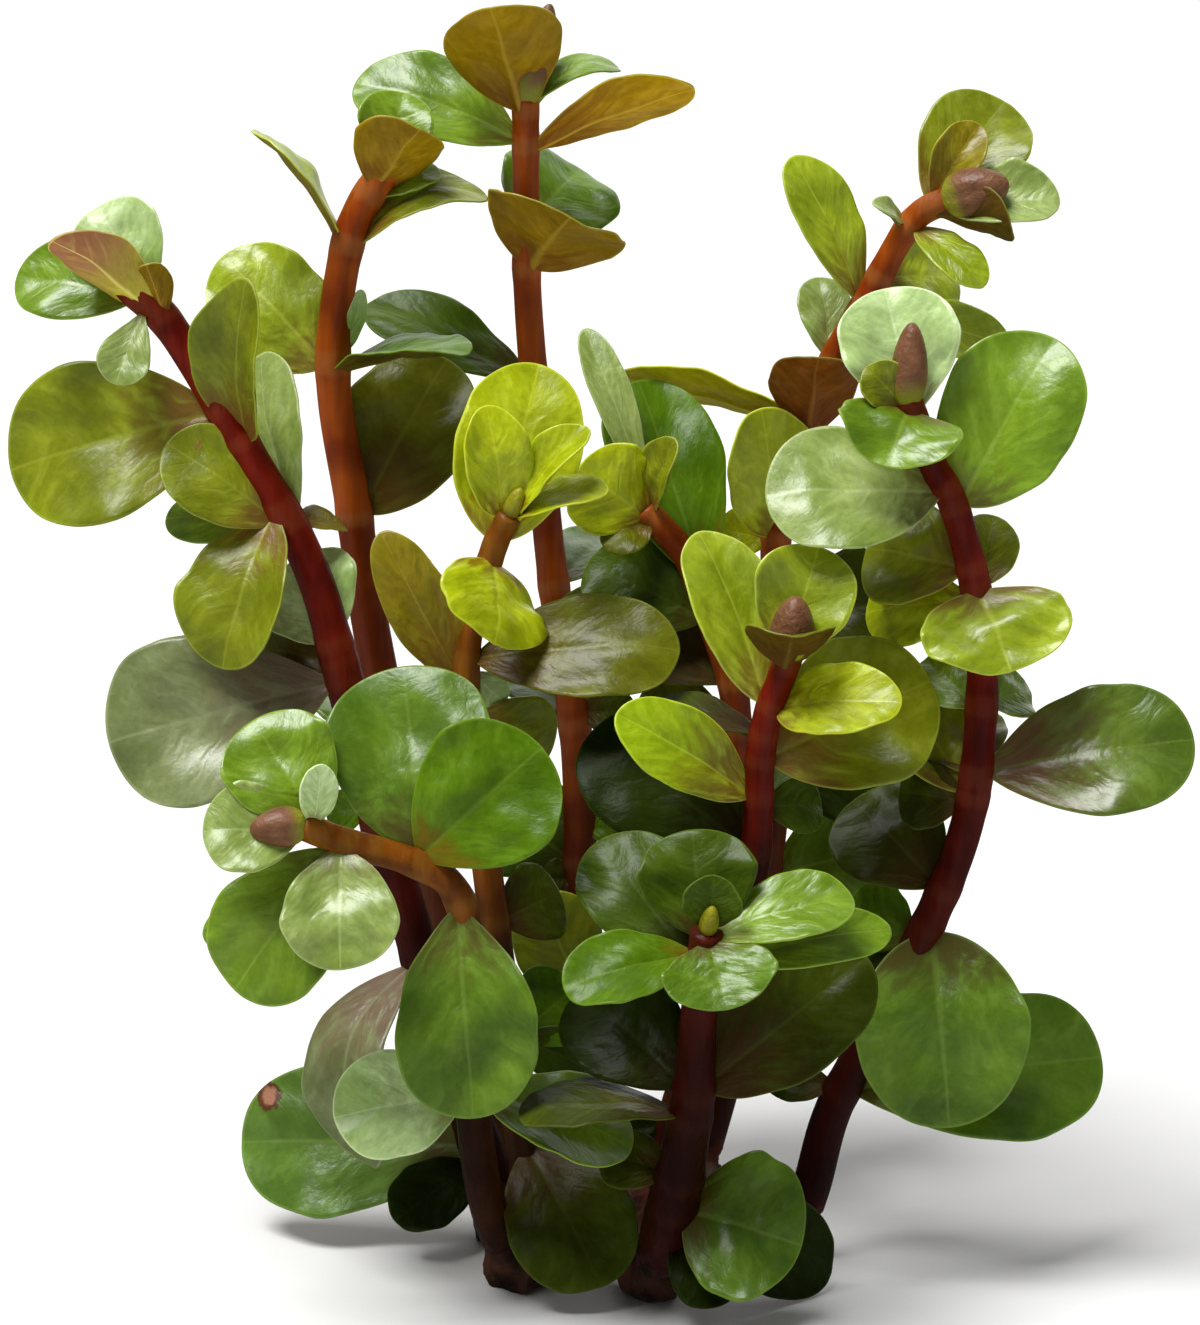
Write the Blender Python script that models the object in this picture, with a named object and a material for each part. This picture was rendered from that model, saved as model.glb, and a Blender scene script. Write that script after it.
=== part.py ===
"""Indian toothcup: a clump of ten leafy shoots that rise from one low rootstock.

The plant stands on the flat cut under its rootstock, at z = 0. The tables are in millimetres:
x is to the right, y is to the back and z is up. Each grown-up leaf is a solid of its own, and the
young leaves and the bud at a shoot's tip are one solid with its stem.
"""

from collections import namedtuple

import bmesh
import bpy
from mathutils import Matrix, Vector

MM = 0.001

# Faces that meet at less than FLAT_ANGLE are one face, and edges over SHARP_ANGLE are shaded sharp.
FLAT_ANGLE = 0.03
SHARP_ANGLE = 0.9

LEAF_THICKNESS = 0.5
GAP = 0.3

# How finely leaves are divided, along and across.
BIG_CELLS = (4, 4)
YOUNG_CELLS = (3, 2)
SMALLEST_CELLS = (2, 2)
SMALLEST_WIDTH = 6.0

# A young leaf's foot lies inside its stem, at this share of the stem's radius.
YOUNG_FOOT = 0.3

# A bud narrows to its tip by BUD_TAPER, and BUD_SINK of its length is inside the stem.
BUD_SIDES = 6
BUD_RINGS = 5
BUD_TAPER = 0.35
BUD_SINK = 0.1

# A smooth route has ROUTE_STEPS points from one given point to the next.
STEM_SIDES = 8
ROUTE_STEPS = 8
SHORTEST_RING_GAP = 1.0

# Each stem starts as a stub of the rootstock, up to STUB_LENGTH along its route.
ROOTSTOCK_HEIGHT = 2.0
STUB_START = 1.5
STUB_LENGTH = 6.0
GROUND_WIDTH = 80.0
GROUND_DEPTH = 20.0

LEAF_GREEN = (0.16, 0.30, 0.03)
STEM_RED = (0.16, 0.03, 0.015)
ROOT_BROWN = (0.06, 0.025, 0.015)

Leaf = namedtuple("Leaf", "below_tip reach looks width arch cup wedge own")
Bud = namedtuple("Bud", "reach width")
Shoot = namedtuple("Shoot", "route foot_radius tip_radius buds leaves")
Runner = namedtuple("Runner", "radius path")


def big(below_tip, reach, looks, width, arch=0.05, cup=0.1, wedge=0.3):
    """A grown-up leaf, a solid of its own, with its foot this far below the shoot's tip.

    reach goes from the middle of the stem to the leaf's tip, and looks is the way its upper face
    looks. arch lifts the middle along the leaf and cup lifts its sides, both as a share of its
    size. wedge is 0 for an oval and more for a leaf that narrows to its foot.
    """
    return Leaf(below_tip, Vector(reach), Vector(looks), width, arch, cup, wedge, True)


def young(below_tip, reach, looks, width, arch=0.05, cup=0.1, wedge=0.3):
    """A young or half-hidden leaf, one solid with its stem."""
    return Leaf(below_tip, Vector(reach), Vector(looks), width, arch, cup, wedge, False)


SHOOTS = {
    "left": Shoot(
        route=[(-8, 1, 0), (-9.5, 0, 7), (-12.5, -3, 18), (-15, -5, 28), (-18, -6, 39), (-20.5, -6, 50),
               (-23, -5, 58), (-28, -4, 67), (-33.5, -3, 76), (-37, -3, 79.5)],
        foot_radius=1.7,
        tip_radius=1.2,
        buds=[Bud((-2.5, -0.5, 2.5), 2)],
        leaves=[
            young(3.2, (-7.4, -4, 6.3), (0.3, 1, 0.3), 5, cup=0.4, wedge=0.05),
            young(1.5, (-10, 3, 1.2), (0, -1, 0.5), 6.6, cup=0.2),
            young(2, (-3.8, 3, 7), (0, -1, 0.3), 7.4, cup=0.25),
            young(2.5, (-2.3, -4, -5.7), (0, -1, 0.4), 4.2, cup=0.3, wedge=0.9),
            young(4, (-1, -2, 4.5), (0, 1, 0.5), 2.5, cup=0.4),
            big(12.5, (-17, 1, -4.9), (-0.1, -1, 0.35), 12.9, cup=0.1, wedge=0.25),
            big(15.5, (0.7, -5, 13.3), (-0.8, -1, 0), 7, cup=0.5, wedge=0.02),
            big(21.5, (-4.6, -5, -11.6), (-0.5, -1, 0.2), 9.4, cup=0.4, wedge=0.3),
            young(22.5, (-10.2, 5, -0.7), (0, -1, 0.5), 4.6, wedge=0.1),
            young(22.5, (-9.2, -0.5, 6.2), (0, -1, 0.5), 7.4, cup=0.2),
            young(23, (-2.8, 6, 12.8), (-0.6, -1, 0.2), 6.6),
            young(23, (4, 4, -0.5), (0, -0.6, 1), 3.5),
            young(33, (-3.5, 5, 6), (-0.2, -1, 0.3), 9),
            young(34.5, (-9, 5, 0.5), (0, -1, 0.5), 8.5),
            big(36, (-18.6, -1, -4.7), (0, -1, 0.35), 13.7, wedge=0.5),
            young(60, (-4.7, -3, -16.3), (-1, -0.8, 0.2), 8.2, arch=0.31),
            big(78, (-20, 3, -0.6), (0, -1, 0.45), 12.5, wedge=0.35),
            young(79.5, (-7, -6, -3), (0, -1, 0.8), 6),
            young(48, (3, 9, 2), (0, -0.3, 1), 7.5),
        ],
    ),
    "back_left": Shoot(
        route=[(-4.5, 5, 0), (-8.5, 8, 11), (-13, 10, 26), (-17, 10, 40), (-19, 9, 51), (-20, 8, 59.5),
               (-21.5, 7, 71), (-20, 6, 82), (-17, 6, 87.5)],
        foot_radius=1.8,
        tip_radius=1.2,
        buds=[Bud((1, 0, 4.5), 2)],
        leaves=[
            young(0, (1.5, 2.5, 5.8), (0, -1, 0.2), 6, cup=0.3),
            young(2, (3.9, -3, 5.2), (-0.3, 1, 0.4), 7.6, cup=0.4),
            young(2.5, (5.5, 1.5, 2), (0, -0.5, 1), 4),
            big(6.5, (-7.2, 0, 9), (0.7, 0.02, 0.7), 8, cup=0.12),
            big(7, (10.9, 2.5, 4.2), (0, -0.5, 1), 5.8, arch=0.2, cup=0.15),
            young(16, (2.5, -0.5, 5.2), (0.6, -1, 0), 1.8, wedge=0.1),
            big(17, (-9, 3, 8.6), (0, -1, 0.35), 9.4, cup=0.12, wedge=0.1),
            big(17, (11, -5, 2.3), (0, -0.1, 1), 8.6, arch=0.04, cup=0.2, wedge=0),
            big(29.5, (7.4, 4, 12.4), (-0.1, -1, 0.2), 10.9, cup=0.12, wedge=0.15),
            young(50, (-5, 8.5, 4), (0, -0.3, 1), 8.5),
            young(61, (-0.5, 9.5, 2.5), (0, -0.3, 1), 8),
            young(74, (-4, 8, 1), (0, -0.2, 1), 7.5),
        ],
    ),
    "back": Shoot(
        route=[(0, 10, 0), (-0.5, 14, 12), (-1.5, 16, 24.5), (-2, 16, 38.5), (-4, 16, 53), (-5.5, 15, 70),
               (-6, 14, 78.5), (-6, 13, 85.5), (-6, 12, 92.5)],
        foot_radius=1.5,
        tip_radius=1.0,
        buds=[Bud((2.3, 0.5, 8.6), 3.4)],
        leaves=[
            young(0.5, (7.5, 3, 3), (0, -0.5, 1), 3.5, arch=0.2),
            big(1, (-2.7, -4.5, 8.7), (0, 1, 0.4), 9.5, cup=0.2),
            big(3.5, (-13.8, 2, 4.9), (0, -1, 0.9), 8.1, arch=0.06, cup=0.15),
            big(4, (13.5, 0, 5.1), (-0.1, 0.8, 0.9), 6.3, arch=0.02, cup=0.15),
            young(10.5, (4.6, 6.5, 4.2), (-0.1, -1, 0.3), 10.6, wedge=0.1),
            big(14, (3.7, -6.5, 5), (0.2, 1, 0.9), 12, arch=0.1, cup=0.2, wedge=0.15),
            big(23.5, (-13.8, 3, 6.3), (0, -0.6, 1), 7.2, arch=0.01),
            young(65, (-8, 1, 5), (0, -1, 0.4), 9.5),
            young(77, (-4.5, -1, 9.5), (0.2, -1, 0.2), 8),
            young(41, (5.5, 9, 3), (0, -0.3, 1), 8),
            young(53, (-4, 9, 3.5), (0, -0.3, 1), 8.5),
            young(70, (5, 8.5, 2), (0, -0.2, 1), 8.5),
        ],
    ),
    "mid_left": Shoot(
        route=[(-4.5, -8, 0), (-6.5, -9, 13.5), (-8, -9, 26.5), (-9.5, -8, 39), (-10.5, -7, 50),
               (-8.5, -7, 58.5), (-7, -8, 62)],
        foot_radius=1.4,
        tip_radius=0.9,
        buds=[Bud((1, -0.5, 2.5), 1.8)],
        leaves=[
            young(0, (6, -1, 7), (-0.8, -0.8, 0.6), 4, cup=0.6),
            young(0, (7.5, -1, 2.5), (0, -0.5, 1), 4, cup=0.2),
            young(0.5, (-1.5, -0.5, 9), (0.3, -1, 0.1), 5.4, cup=0.3, wedge=0.05),
            big(2.8, (3.4, 4, 13.6), (0, -1, 0.1), 10, cup=0.12, wedge=0.1),
            big(4.2, (0.8, -6, -5.2), (0.8, -0.5, 0.8), 10.4, cup=-0.15, wedge=0.1),
            big(12.3, (16.5, -3, 1.6), (0, -1, 0.8), 9.1, wedge=0.35),
            young(13.5, (3, 1, -2.6), (0, -1, 0.3), 3),
            big(14.2, (-6.6, 0.6, 11.8), (0.1, -1, 0.1), 5.3, wedge=0.08),
            young(17, (6.5, 2, -3.5), (0, -1, 0.4), 7),
            young(33.5, (5.2, 3, 1.8), (0, -1, 0.3), 6.5),
            young(43, (5.5, 3, 3.5), (0, -1, 0.3), 7),
            big(52, (6.3, -9, -8.4), (0.2, -1, 0.4), 10.4),
        ],
    ),
    "mid": Shoot(
        route=[(3.5, 4, 0), (7.5, 3, 14.5), (10, 2, 28.5), (11, 2, 43.5), (9.5, 2, 50), (7, 3, 56.5),
               (3.5, 3, 60.5)],
        foot_radius=1.5,
        tip_radius=1.0,
        buds=[Bud((-2, -0.5, 1.5), 1.8)],
        leaves=[
            young(0.5, (-5.5, -2, 4), (0, -1, 0.3), 8, cup=0.15),
            young(0.5, (-4, 4, 14.5), (0.2, -1, 0.2), 3.3, cup=0.3, wedge=0.6),
            young(0.5, (2, -3, 6.5), (-0.9, -0.6, 0), 4, cup=0.5),
            young(1, (-3.5, -3, -2), (-0.5, -1, 0.6), 4),
            big(7.5, (-4.8, 6.6, 15.6), (0.2, -1, 0.3), 9.5),
            young(10.5, (-10, 2, 4), (0, -1, 0.5), 8.5),
            young(16, (-14, 7, 5.5), (0, -0.8, 0.8), 9),
            young(20, (-8.5, 3, 0), (0, -1, 0.5), 8.5),
            young(27, (5, 8.5, 4), (0, -0.3, 1), 8),
            young(40, (-3, 6.5, 3), (0, -0.3, 1), 7),
        ],
    ),
    "mid_right": Shoot(
        route=[(4, -6, 0), (7, -9, 13.5), (10, -11, 24.5), (12, -13, 35.5), (12.5, -14, 45.5),
               (14.5, -15, 52.5)],
        foot_radius=1.5,
        tip_radius=1.0,
        buds=[Bud((0.5, -0.8, 5.2), 4.2)],
        leaves=[
            young(0.5, (2.4, 2, 8.4), (-0.1, -1, 0.2), 8, cup=0.35),
            young(1, (0.3, -4.2, 3.8), (0, 1, 0.8), 6.8, cup=0.3),
            big(4.5, (-5.4, 3, 13.1), (0.5, -1, 0.2), 7.3, cup=0.2, wedge=0.15),
            big(4.5, (9.7, -4, 1.2), (0, -0.9, 0.8), 6.4, cup=0.2, wedge=0),
            young(7, (-9.5, 5, 1.5), (0, -0.4, 1), 4.5),
            big(9, (13.5, 4, 5.5), (-0.1, -1, 0.35), 12, wedge=0.2),
            big(12, (-10.7, -4, 7.5), (0, -1, 0.6), 6.4, cup=0.15),
            young(16.5, (-13, 4, 8.5), (0, -1, 0.5), 10.5),
        ],
    ),
    "front": Shoot(
        route=[(4, -12, 0), (5.5, -17, 7.5), (7, -21, 18), (7.5, -24, 27), (8, -26, 33.5)],
        foot_radius=2.2,
        tip_radius=1.1,
        buds=[Bud((0.5, -1, 2.5), 1.8)],
        leaves=[
            young(0, (0.5, -1, 4.5), (0, -0.8, 0.3), 4.5, cup=0.4),
            big(0.5, (11, 1, 3), (-0.2, -0.8, 1), 6.5, cup=0.2),
            big(0.5, (1.5, -5, -4), (0, -1, 0.8), 8.5, cup=0.2),
            young(1, (-1, 3, 8), (0, -1, 0.5), 9, cup=0.2),
            big(2, (-10.5, -4, -1.3), (0, -0.8, 1), 6.5, cup=0.2),
            young(3.5, (-8, 6.5, 8.4), (0.2, -1, 0.3), 8.5, cup=0.15),
            young(3, (14.5, 4, 2), (0, -1, 0.7), 4.5),
            big(14.5, (13.3, 2, 10), (0, -1, 0.4), 9.5, wedge=0.15),
            young(14.6, (-8.8, 7.4, 6.2), (0, -1, 0.5), 9.4),
            big(16.9, (-13, -2.8, 1.1), (0, -0.12, 1), 8.4, arch=0.08),
            young(23, (-6, 3, 1), (0, -1, 0.6), 5),
            big(26, (9.8, -3, -2), (-0.1, -1, 0.6), 12, cup=0.15, wedge=0.15),
            young(28, (13.5, 5, -5), (0, -1, 0.5), 8),
            young(28.5, (4.5, -4, -4.5), (0, -1, 1), 6),
        ],
    ),
    "back_right": Shoot(
        route=[(7.5, 10, 0), (11.5, 13, 14), (14, 14, 28.5), (15, 13, 43.5), (14.5, 12, 57), (16.5, 11, 63),
               (18.5, 10, 70.5), (21.5, 9, 76.5), (25, 8, 83), (28, 7, 85)],
        foot_radius=1.5,
        tip_radius=1.0,
        buds=[Bud((5, -2.2, 1.6), 4.8)],
        leaves=[
            young(1, (9.4, -1.5, 0.5), (0, -0.9, 0.8), 6, cup=0.4),
            big(2, (6.5, 5.5, 8.2), (-0.1, -1, 0.35), 8.8, cup=0.2),
            young(1.5, (3.5, 1, 6.5), (-0.2, -1, 0.1), 4, cup=0.6),
            young(1.5, (6.2, -4, -1.4), (0, 1, 0.7), 5, cup=0.3),
            young(4.2, (-2.9, -2, 2.2), (0, -0.8, 1), 2, cup=0.3),
            young(4, (5.5, -5, -4.2), (0.3, -1, 0.8), 4.2, cup=0.15),
            young(9, (6.8, 6, -0.8), (0, -1, 0.4), 6.8),
            big(11.5, (-5.8, 0, 11.9), (0.5, -1, 0.2), 5.5, cup=0.15),
            young(12, (13, 5, -3.9), (0, -1, 0.5), 4.8),
            young(17, (-0.9, 4, 6.5), (0.2, -1, 0.1), 4.6),
            big(22.3, (-16, 1.8, 4.0), (0, 0.6, 1), 6, arch=0, cup=0.15),
            big(23.5, (0.4, -5.5, 7.5), (0, 1, 0.4), 7.4, cup=0.15),
            big(32.5, (-1.4, -5, 11.1), (0.4, -1, 0.1), 8.2, cup=0.15, wedge=0.1),
            young(62, (10, 2, 1.5), (0, -1, 0.5), 9),
            young(40, (11, -1, 2), (0, -1, 0.4), 10),
            young(53, (10.5, -1, 0), (0, -1, 0.4), 9),
            young(44, (3, 9.5, 4), (0, -0.3, 1), 8.5),
            young(56, (-5, 8.5, 3.5), (0, -0.3, 1), 8.5),
        ],
    ),
    "right": Shoot(
        route=[(15, -4, 0), (17, -5, 6), (18.5, -6, 12.5), (21, -8, 19), (25.5, -10, 29), (28.5, -11, 37.5),
               (29.5, -11, 45), (29.5, -10, 54), (27.5, -10, 62.5), (25.5, -10, 66.5), (23.5, -11, 71.5)],
        foot_radius=1.55,
        tip_radius=1.0,
        buds=[Bud((0.3, -0.5, 6.8), 3.4)],
        leaves=[
            young(0.5, (-3.4, -1, 3), (0.3, -1, 0.1), 3.8, cup=0.4),
            young(0.7, (-2, -5, -3.5), (0, -1, 0.7), 9.5, cup=0.3, wedge=0.05),
            young(1.5, (-2.2, 3, 9.5), (0, -1, 0.3), 9.3, cup=0.3),
            big(8, (-14, -2, 0), (0, -1, 0.8), 11),
            big(9.5, (7.5, 1, 13), (-0.3, -1, 0.2), 11.1, cup=0.12, wedge=0.15),
            young(14.5, (-8, 4, 1), (0, -1, 0.5), 9),
            young(16, (1.7, 4, 5), (0, -1, 0.3), 5, wedge=0.1),
            big(16.2, (2.3, -6, -5), (0, -0.8, 1), 12.1, wedge=0.1),
            young(17, (-8.5, 5, -2), (0, -1, 0.4), 6.5),
            young(25, (4.3, 5, -0.2), (0, -1, 0.4), 4.2),
            young(25.5, (-4.2, 4, 3.2), (0.2, -1, 0.2), 5),
            big(30.5, (16.7, -1, 2.9), (0, -1, 0.5), 10.5, cup=0.1, wedge=0.35),
            young(32.5, (-5, 6, 6.5), (0.3, -1, 0.2), 7.5),
            young(40.5, (-7, 5, 6), (0.2, -1, 0.3), 9.5),
            big(44, (1.8, -4, -15.2), (0, -1, 0.35), 13.4, cup=0.12, wedge=0.02),
            young(45.5, (-5.5, 3, 2.5), (0, -1, 0.4), 6),
            big(60, (21.3, 3, 2), (0.1, -1, 0.5), 12.2, wedge=0.4),
            young(31, (-2, 9.5, 3), (0, -0.3, 1), 8.5),
            young(52, (-4, 9.5, 1), (0, -0.3, 1), 8.5),
        ],
    ),
    "front_left": Shoot(
        route=[(-6.5, -10, 0), (-9, -14, 8.5), (-10, -17, 19), (-10, -19, 29.5), (-11, -20, 35),
               (-14, -21, 37.5), (-19.5, -22, 39.5), (-22.5, -23, 41)],
        foot_radius=1.5,
        tip_radius=1.0,
        buds=[Bud((-4.3, -1, -0.2), 3.7)],
        leaves=[
            young(0.5, (-7.7, -1, 0), (0, -1, 0.6), 7.2, cup=0.2),
            young(0.8, (1, -2, 5.3), (0.3, -1, 0.1), 3, cup=0.2),
            young(1.5, (-5, 3, 8), (0.1, -1, 0.5), 9, cup=0.15),
            big(3.5, (0.1, -5, -8.6), (0, -1, 0.5), 8.9, cup=0.12, wedge=0.3),
            big(4, (-8.8, -1, -11.3), (-0.2, -1, 0.4), 10.3, cup=0.12, wedge=0.3),
            young(6, (-13.8, 5.5, -8.6), (0, -1, 0.4), 4),
            big(9.5, (9.5, 0, 9), (-0.2, -1, 0.2), 11.5, cup=0.12),
            big(10, (-1.5, 5, 14.5), (0, -1, 0.15), 13, cup=0.15),
            big(14.5, (1, -4, -16), (0, -1, 0.3), 11, cup=0.15, wedge=0.35),
            big(31, (-10.5, -3, -1), (0, -1, 0.5), 8.5),
            big(31, (12.5, -1.5, -3.8), (0, -0.55, 1), 8.5),
        ],
    ),
}

# The rootstock's runners, seen from above, from fork to fork under the shoots.
RUNNERS = [
    Runner(2.8, [(-10, 1.5), (-4, 0.7), (0.5, 0), (6, -2), (11, -3.5), (17, -4.5)]),
    Runner(2.4, [(-4.2, 0.3), (-5, 6.5)]),
    Runner(2.5, [(0, 0.3), (-0.4, 5), (0, 11.5)]),
    Runner(2.3, [(6.3, -1.7), (7.2, 4), (8, 11.5)]),
    Runner(2.6, [(-3.7, 0.2), (-4.5, -8), (-7.5, -12)]),
    Runner(2.7, [(5.8, -2.4), (4, -7), (4, -14)]),
    Runner(2.2, [(0.7, 0.6), (4, 4.5)]),
]


def clear_scene():
    for obj in list(bpy.data.objects):
        bpy.data.objects.remove(obj)


def make_material(name, colour, roughness):
    material = bpy.data.materials.new(name)
    material.use_nodes = True
    shader = material.node_tree.nodes["Principled BSDF"]
    shader.inputs["Base Color"].default_value = (*colour, 1)
    shader.inputs["Roughness"].default_value = roughness
    shader.inputs["Metallic"].default_value = 0
    return material


def add_object(name, mesh, material):
    mesh.name = name
    mesh.materials.clear()
    mesh.materials.append(material)
    mesh.shade_smooth()
    mesh.set_sharp_from_angle(angle=SHARP_ANGLE)
    obj = bpy.data.objects.new(name, mesh)
    bpy.context.scene.collection.objects.link(obj)
    return obj


def smooth_route(points):
    """Points on a smooth curve through the given ones (Catmull-Rom)."""
    points = [Vector(p) for p in points]
    ends = [2 * points[0] - points[1], *points, 2 * points[-1] - points[-2]]
    route = []
    for a, b, c, d in zip(ends, ends[1:], ends[2:], ends[3:]):
        for step in range(ROUTE_STEPS):
            t = step / ROUTE_STEPS
            pull = (2 * a - 5 * b + 4 * c - d) * t**2 + (3 * b - a - 3 * c + d) * t**3
            route.append(0.5 * (2 * b + (c - a) * t + pull))
    return [*route, points[-1]]


class Stem:
    """The middle line of a shoot, read by how far along it a point lies."""

    def __init__(self, shoot):
        self.shoot = shoot
        self.points = smooth_route(shoot.route)
        self.lengths = [0.0]
        for a, b in zip(self.points, self.points[1:]):
            self.lengths.append(self.lengths[-1] + (b - a).length)
        self.total = self.lengths[-1]

    def at(self, length):
        """Point, direction and radius at this length above the foot."""
        length = min(max(length, 0.0), self.total)
        i = next(i for i in range(1, len(self.lengths)) if self.lengths[i] >= length)
        a, b = self.points[i - 1], self.points[i]
        part = (length - self.lengths[i - 1]) / (self.lengths[i] - self.lengths[i - 1])
        share = length / self.total
        radius = self.shoot.foot_radius + share * (self.shoot.tip_radius - self.shoot.foot_radius)
        return a.lerp(b, part), (b - a).normalized(), radius

    def stretch(self, start, end):
        """Points and radii of a stretch: its two ends and the route's own points between them."""
        knots = [self.lengths[i] for i in range(0, len(self.lengths), ROUTE_STEPS)]
        first, last = start + SHORTEST_RING_GAP, end - SHORTEST_RING_GAP
        steps = [start, *(knot for knot in knots if first < knot < last), end]
        places = [self.at(step) for step in steps]
        return [p[0] for p in places], [p[2] for p in places]


def tube_mesh(points, radii):
    """A closed round tube through points in millimetres."""
    curve = bpy.data.curves.new("tube", "CURVE")
    curve.dimensions = "3D"
    curve.bevel_depth = MM
    curve.bevel_resolution = (STEM_SIDES - 4) // 2
    curve.use_fill_caps = True
    spline = curve.splines.new("POLY")
    spline.points.add(len(points) - 1)
    for place, point, radius in zip(spline.points, points, radii):
        place.co = (*(point * MM), 1)
        place.radius = radius
    obj = bpy.data.objects.new("tube", curve)
    bpy.context.scene.collection.objects.link(obj)
    graph = bpy.context.evaluated_depsgraph_get()
    mesh = bpy.data.meshes.new_from_object(obj.evaluated_get(graph))
    bpy.data.objects.remove(obj)
    made = bmesh.new()
    made.from_mesh(mesh)
    bmesh.ops.remove_doubles(made, verts=made.verts, dist=1e-6)
    bmesh.ops.recalc_face_normals(made, faces=made.faces)
    made.to_mesh(mesh)
    made.free()
    return mesh


def blade_point(leaf, length, u, v):
    """A point of a leaf's middle surface, in its own frame, for a point (u, v) of a square."""
    along = u * (1 - v * v / 2) ** 0.5
    across = v * (1 - u * u / 2) ** 0.5
    t = (1 + along) / 2
    widest = (0.5 + leaf.wedge) / (1 + leaf.wedge)
    most = 2 * widest ** (0.5 + leaf.wedge) * (1 - widest) ** 0.5
    side = across * max(t, 0) ** leaf.wedge / most
    lift = leaf.arch * length * 4 * t * (1 - t) + leaf.cup * leaf.width / 2 * side * side
    return Vector((t * length, side * leaf.width / 2, lift))


def blade_mesh(leaf, foot, tip, cells):
    """A leaf from foot to tip, as a closed solid that thins out to a sharp rim."""
    reach = tip - foot
    x_axis = reach.normalized()
    z_axis = (leaf.looks - leaf.looks.dot(x_axis) * x_axis).normalized()
    y_axis = z_axis.cross(x_axis)
    turn = Matrix((x_axis, y_axis, z_axis)).transposed()
    made = bmesh.new()
    bmesh.ops.create_grid(made, x_segments=cells[0], y_segments=cells[1], size=1)
    for vert in made.verts:
        vert.co = blade_point(leaf, reach.length, vert.co.x, vert.co.y)
    bmesh.ops.translate(made, verts=made.verts, vec=(0, 0, LEAF_THICKNESS / 2))
    bmesh.ops.recalc_face_normals(made, faces=made.faces)
    first_side = set(made.verts)
    bmesh.ops.solidify(made, geom=made.faces[:], thickness=LEAF_THICKNESS)
    bmesh.ops.recalc_face_normals(made, faces=made.faces)
    rim = [edge for edge in made.edges if len(first_side.intersection(edge.verts)) == 1]
    bmesh.ops.collapse(made, edges=rim)
    bmesh.ops.triangulate(made, faces=made.faces)
    for vert in made.verts:
        vert.co = (foot + turn @ vert.co) * MM
    mesh = bpy.data.meshes.new("blade")
    made.to_mesh(mesh)
    made.free()
    return mesh


def bud_mesh(bud, foot):
    """A pointed bud: a ball drawn out along its reach, narrower towards its tip."""
    reach = Vector(bud.reach)
    made = bmesh.new()
    bmesh.ops.create_uvsphere(made, u_segments=BUD_SIDES, v_segments=BUD_RINGS, radius=1)
    for vert in made.verts:
        height = (vert.co.z + 1) / 2
        slim = 1 - BUD_TAPER * height
        vert.co.x *= bud.width / 2 * slim
        vert.co.y *= bud.width / 2 * slim
        vert.co.z = (height - BUD_SINK) * reach.length
    turn = reach.to_track_quat("Z", "Y").to_matrix()
    for vert in made.verts:
        vert.co = (foot + turn @ vert.co) * MM
    mesh = bpy.data.meshes.new("bud")
    made.to_mesh(mesh)
    made.free()
    return mesh


def fuse(name, meshes, material):
    """One solid from several that reach into each other."""
    target = add_object(name, meshes[0], material)
    extras = bpy.data.collections.new(name + " pieces")
    for i, mesh in enumerate(meshes[1:]):
        extras.objects.link(bpy.data.objects.new(f"{name} piece {i}", mesh))
    union = target.modifiers.new("Fuse", "BOOLEAN")
    union.operation = "UNION"
    union.operand_type = "COLLECTION"
    union.collection = extras
    graph = bpy.context.evaluated_depsgraph_get()
    fused = bpy.data.meshes.new_from_object(target.evaluated_get(graph))
    for obj in [target, *extras.objects]:
        bpy.data.objects.remove(obj)
    bpy.data.collections.remove(extras)
    made = bmesh.new()
    made.from_mesh(fused)
    bmesh.ops.dissolve_limit(made, angle_limit=FLAT_ANGLE, verts=made.verts, edges=made.edges)
    bmesh.ops.triangulate(made, faces=made.faces)
    made.to_mesh(fused)
    made.free()
    return add_object(name, fused, material)


def leaf_ends(leaf, stem):
    """The foot of a leaf, on its stem's side, and its tip."""
    middle, direction, radius = stem.at(stem.total - leaf.below_tip)
    tip = middle + leaf.reach
    side = leaf.reach - leaf.reach.dot(direction) * direction
    clear = radius + GAP + LEAF_THICKNESS / 2 if leaf.own else YOUNG_FOOT * radius
    return middle + side.normalized() * clear, tip


def make_shoot(name, shoot, leaf_green, stem_red):
    stem = Stem(shoot)
    pieces = [tube_mesh(*stem.stretch(STUB_LENGTH + GAP, stem.total))]
    for bud in shoot.buds:
        pieces.append(bud_mesh(bud, stem.points[-1]))
    number = 0
    for leaf in shoot.leaves:
        foot, tip = leaf_ends(leaf, stem)
        if leaf.own:
            number += 1
            add_object(f"leaf_{name}_{number}", blade_mesh(leaf, foot, tip, BIG_CELLS), leaf_green)
        else:
            cells = YOUNG_CELLS if leaf.width > SMALLEST_WIDTH else SMALLEST_CELLS
            pieces.append(blade_mesh(leaf, foot, tip, cells))
    fuse(f"stem_{name}", pieces, stem_red)


def make_rootstock(root_brown):
    """Runners and the stubs of the stems in one solid."""
    pieces = []
    for runner in RUNNERS:
        points = [Vector((x, y, ROOTSTOCK_HEIGHT)) for x, y in runner.path]
        pieces.append(tube_mesh(points, [runner.radius] * len(points)))
    for shoot in SHOOTS.values():
        pieces.append(tube_mesh(*Stem(shoot).stretch(STUB_START, STUB_LENGTH)))
    return fuse("rootstock", pieces, root_brown)


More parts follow.
